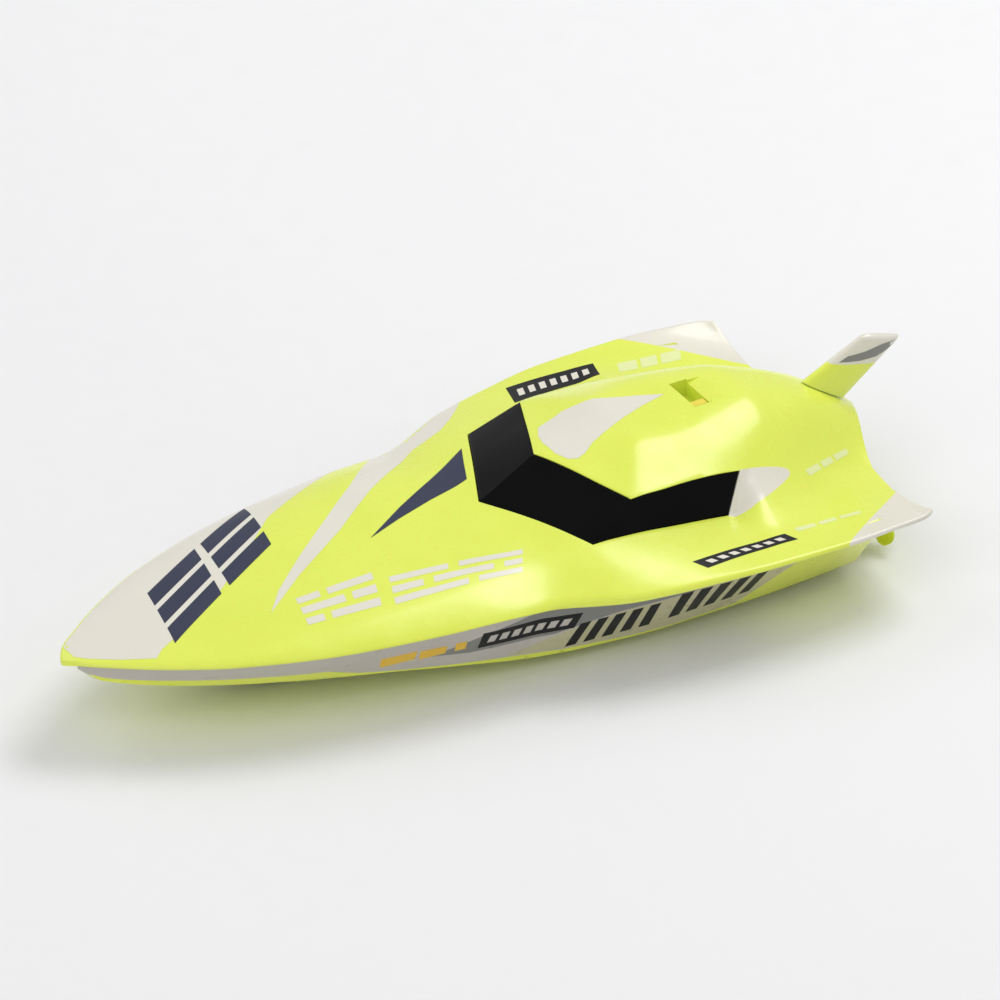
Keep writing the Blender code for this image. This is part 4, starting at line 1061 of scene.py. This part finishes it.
# Two areas of plain dashes in three rows
dashPrint = {
    "front": [(61.7, 12.3), (83.7, 12.9), (79.0, 26.0), (58.9, 23.4)],
    "rear": [(86.4, 17.0), (122.4, 23.2), (118.0, 30.4), (82.3, 27.4)],
    "frontBars": [
        (0.0, 0.30, 0.0, 0.22), (0.40, 1.0, 0.0, 0.22), (0.0, 0.58, 0.38, 0.62), (0.68, 1.0, 0.38, 0.62),
        (0.0, 0.24, 0.78, 1.0), (0.34, 1.0, 0.78, 1.0),
    ],
    "rearBars": [
        (0.0, 0.44, 0.0, 0.22), (0.52, 1.0, 0.0, 0.22), (0.0, 0.24, 0.38, 0.62), (0.32, 0.78, 0.38, 0.62),
        (0.86, 1.0, 0.38, 0.62), (0.0, 0.58, 0.78, 1.0), (0.66, 1.0, 0.78, 1.0),
    ],
}
dashes = stripes(dashPrint["front"], dashPrint["frontBars"])
dashes += stripes(dashPrint["rear"], dashPrint["rearBars"])
deckPrint("printDashes", dashes, "palePrint")

# Dark plates with a row of pale dashes
platePrint = {
    "port": [(158.6, 46.9), (186.4, 46.5), (188.3, 49.9), (161.0, 50.6)],
    "starboard": [(158.6, -40.9), (185.7, -43.3), (187.6, -50.0), (161.6, -50.4)],
    "bars": [(0.08 + 0.125 * i, 0.15 + 0.125 * i, 0.30, 0.70) for i in range(7)],
    "slant": 0.02, "lift": 0.06, "barLift": 0.10,
}
plates = [platePrint["port"], platePrint["starboard"]]
deckPrint("printPlates", plates, "darkPrint", platePrint["lift"])
plateDashes = [bar for corners in plates for bar in stripes(corners, platePrint["bars"], platePrint["slant"])]
deckPrint("printPlateDashes", plateDashes, "palePrint", platePrint["barLift"])

smallPrint = {
    "areas": [
        [(190.0, 44.6), (211.5, 42.4), (210.6, 44.6), (190.5, 47.0)],
        [(205.4, 24.9), (223.4, 15.9), (223.8, 17.4), (206.6, 26.6)],
        [(191.1, -41.9), (209.8, -42.6), (213.0, -48.4), (193.6, -48.3)],
    ],
    "bars": [(0.0, 0.30, 0.15, 0.85), (0.36, 0.62, 0.15, 0.85), (0.68, 1.0, 0.15, 0.85)],
}
smallDashes = [bar for area in smallPrint["areas"] for bar in stripes(area, smallPrint["bars"])]
deckPrint("printSmallDashes", smallDashes, "softPrint")

roofPrint = {
    "leaf": [
        (147.0, -10.1), (144.6, -6.0), (143.6, -2.0), (143.9, 3.5), (145.6, 7.2), (147.8, 8.4), (150.5, 7.6),
        (153.7, 5.5), (160.0, 3.0), (166.2, 0.6), (173.0, -1.4), (180.4, -2.9), (173.9, -6.4), (163.8, -10.9),
        (155.2, -12.3),
    ],
}
deckPrint("printRoof", [roofPrint["leaf"]], "palePrint")
for sideName, sign in (("Port", 1), ("Starboard", -1)):
    outlines, lift = [finLook["stripe"]], finLook["stripeLift"]
    makeFilm("finStripe" + sideName, outlines, finFilm(sign), "midPrint", body["cover"], lift)
print("stage: deck prints")

# Hull side prints, as (station, height); the same on both sides
hullPrint = {
    "band": [
        (3.2, 21.0), (5.0, 19.6), (9.4, 18.4), (24.7, 17.7), (41.4, 16.7), (61.5, 15.4), (70.0, 12.6),
        (81.3, 10.6), (97.9, 8.2), (110.2, 7.0), (125.5, 5.4), (142.3, 4.6), (159.6, 4.4), (175.5, 5.2),
        (182.9, 12.2), (189.1, 18.7), (196.0, 22.6), (150.0, 22.4), (130.0, 21.6), (118.0, 22.1),
        (104.0, 22.7), (60.0, 22.8), (20.0, 22.7), (8.0, 22.5), (3.2, 22.3),
    ],
    "beige": [
        (110.6, 7.4), (125.5, 5.7), (142.3, 4.9), (159.6, 4.7), (175.0, 5.6), (182.4, 12.4), (188.6, 19.0),
        (192.0, 21.4), (172.0, 20.6), (157.5, 18.1), (139.1, 15.8), (124.4, 11.6),
    ],
    "orange": [
        [(75.1, 13.4), (84.1, 14.4), (84.0, 17.6), (74.5, 17.1)],
        [(85.3, 13.7), (92.4, 14.2), (92.2, 17.1), (85.0, 17.2)],
        [(94.8, 14.2), (97.8, 14.2), (97.6, 17.1), (94.6, 17.2)],
    ],
    "wedge": [
        (88.1, 13.9), (99.4, 12.1), (122.8, 11.9), (139.1, 16.2), (157.5, 18.3), (172.0, 20.8), (156.2, 22.0),
        (132.4, 21.5), (118.0, 21.6), (104.0, 18.4),
    ],
    "label": [(101.3, 13.2), (127.7, 12.9), (129.0, 18.3), (101.7, 18.7)],
    "labelBars": [(0.07 + 0.125 * i, 0.15 + 0.125 * i, 0.28, 0.72) for i in range(7)],
    "labelSlant": 0.03,
    "front": [(126.0, 6.0), (150.7, 7.6), (151.4, 16.6), (128.8, 14.0)],
    "rear": [(153.8, 8.2), (180.0, 10.2), (182.4, 19.4), (154.6, 18.2)],
    "frontBars": [(0.02 + 0.20 * i, 0.14 + 0.20 * i, 0.0, 1.0) for i in range(5)],
    "rearBars": [(0.02 + 0.19 * i, 0.14 + 0.19 * i, 0.0, 1.0) for i in range(5)],
}
labelDashes = stripes(hullPrint["label"], hullPrint["labelBars"], hullPrint["labelSlant"])
sideBars = stripes(hullPrint["front"], hullPrint["frontBars"])
sideBars += stripes(hullPrint["rear"], hullPrint["rearBars"])
hullFilms = [  # name, outlines, finish and lift; films that overlap differ in lift
    ("Band", [hullPrint["band"]], "hullPrint", 0.06),
    ("Beige", [hullPrint["beige"]], "beigePrint", 0.08),
    ("Orange", hullPrint["orange"], "orangePrint", 0.12),
    ("Wedge", [hullPrint["wedge"]], "midPrint", 0.08),
    ("Label", [hullPrint["label"]], "darkPrint", 0.11),
    ("LabelDashes", labelDashes, "hullPrint", 0.14),
    ("Bars", sideBars, "darkPrint", 0.11),
]
for sideName, sign in (("Port", 1), ("Starboard", -1)):
    for name, outlines, finish, lift in hullFilms:
        makeFilm("hull" + name + sideName, outlines, sideFilm(sign), finish, body["hull"], lift)
print("stage: hull prints")


# The CAD's own parts take their finish by slot, and some get rounded edges, in millimetres
roundedNodes = {
    "cover_latch": 0.25, "propeller_port": 0.12, "propeller_starboard": 0.12, "battery_door": 0.2,
    "door_knob": 0.2, "inner_deck": 0.2, "power_switch": 0.15, "switch_housing": 0.15, "battery_tray": 0.2,
    "circuit_board": 0.08, "bow_float": 0.4,
}
for part in frame["record"]["subparts"]:
    slotName = part.get("material_slot")
    node = frame["nodes"].get(part.get("node") or part.get("name"))
    if node is None or slotName not in materials:
        continue
    node.data.materials.clear()
    node.data.materials.append(materials[slotName])
    width = roundedNodes.get(node.name)
    if width:
        addRounding(node, width, 40.0)
print("stage: finishes")


# Stage: pale floor and soft light
stageLook = {
    "floorSize": 3.0, "floorHeight": -0.0002, "worldLight": 0.54,
    "floor": {
        "colour": (0.86, 0.86, 0.87), "shade": (0.83, 0.83, 0.845), "roughness": 0.6, "mottleScale": 3.0,
        "bump": 0.05,
    },
}


def makeStage():
    shape = bmesh.new()
    bmesh.ops.create_grid(shape, x_segments=24, y_segments=24, size=stageLook["floorSize"])
    for vert in shape.verts:
        vert.co.z = stageLook["floorHeight"]
    mesh = bpy.data.meshes.new("floor")
    shape.to_mesh(mesh)
    shape.free()
    mesh.materials.append(makeMaterial("floorPaint", stageLook["floor"]))
    mesh.shade_smooth()
    floor = bpy.data.objects.new("floor", mesh)
    bpy.context.scene.collection.objects.link(floor)
    world = bpy.data.worlds.new("studio")
    world.use_nodes = True
    background = world.node_tree.nodes["Background"]
    background.inputs["Color"].default_value = (1.0, 1.0, 1.0, 1.0)
    background.inputs["Strength"].default_value = stageLook["worldLight"]
    bpy.context.scene.world = world
    bpy.context.scene.view_settings.view_transform = "Standard"


lampLook = {
    "key": {"at": (-0.72, -0.20, 1.02), "size": (0.70, 0.55), "power": 7.0},
    "fill": {"at": (0.8, 0.5, 0.9), "size": (0.9, 0.9), "power": 3.8},
    "rear": {"at": (0.30, -1.0, 0.90), "size": (0.6, 0.6), "power": 1.2},
}


def makeLamps():
    for name, look in lampLook.items():
        lamp = bpy.data.lights.new(name, "AREA")
        lamp.shape = "RECTANGLE"
        lamp.size, lamp.size_y = look["size"]
        lamp.energy = look["power"]
        holder = bpy.data.objects.new(name, lamp)
        holder.location = look["at"]
        holder.rotation_euler = (-Vector(look["at"])).to_track_quat("-Z", "Y").to_euler()
        bpy.context.scene.collection.objects.link(holder)


# A far camera with a long lens, which sees almost no perspective
cameraLook = {
    "azimuth": 149.0, "elevation": 32.0, "distance": 6.0, "target": (-0.0046, 0.0, 0.0292),
    "lens": 845.7, "sensor": 36.0, "clipEnd": 20.0,
}


def makeCamera():
    azimuth, elevation = math.radians(cameraLook["azimuth"]), math.radians(cameraLook["elevation"])
    level = math.cos(elevation)
    back = Vector((math.sin(azimuth) * level, -math.cos(azimuth) * level, math.sin(elevation)))
    camera = bpy.data.objects.new("camera", bpy.data.cameras.new("camera"))
    camera.data.lens = cameraLook["lens"]
    camera.data.sensor_width = cameraLook["sensor"]
    camera.data.clip_end = cameraLook["clipEnd"]
    camera.location = Vector(cameraLook["target"]) + back * cameraLook["distance"]
    camera.rotation_euler = (-back).to_track_quat("-Z", "Y").to_euler()
    bpy.context.scene.collection.objects.link(camera)
    bpy.context.scene.camera = camera


makeStage()
makeLamps()
makeCamera()
print("stage: stage, lamps and camera")
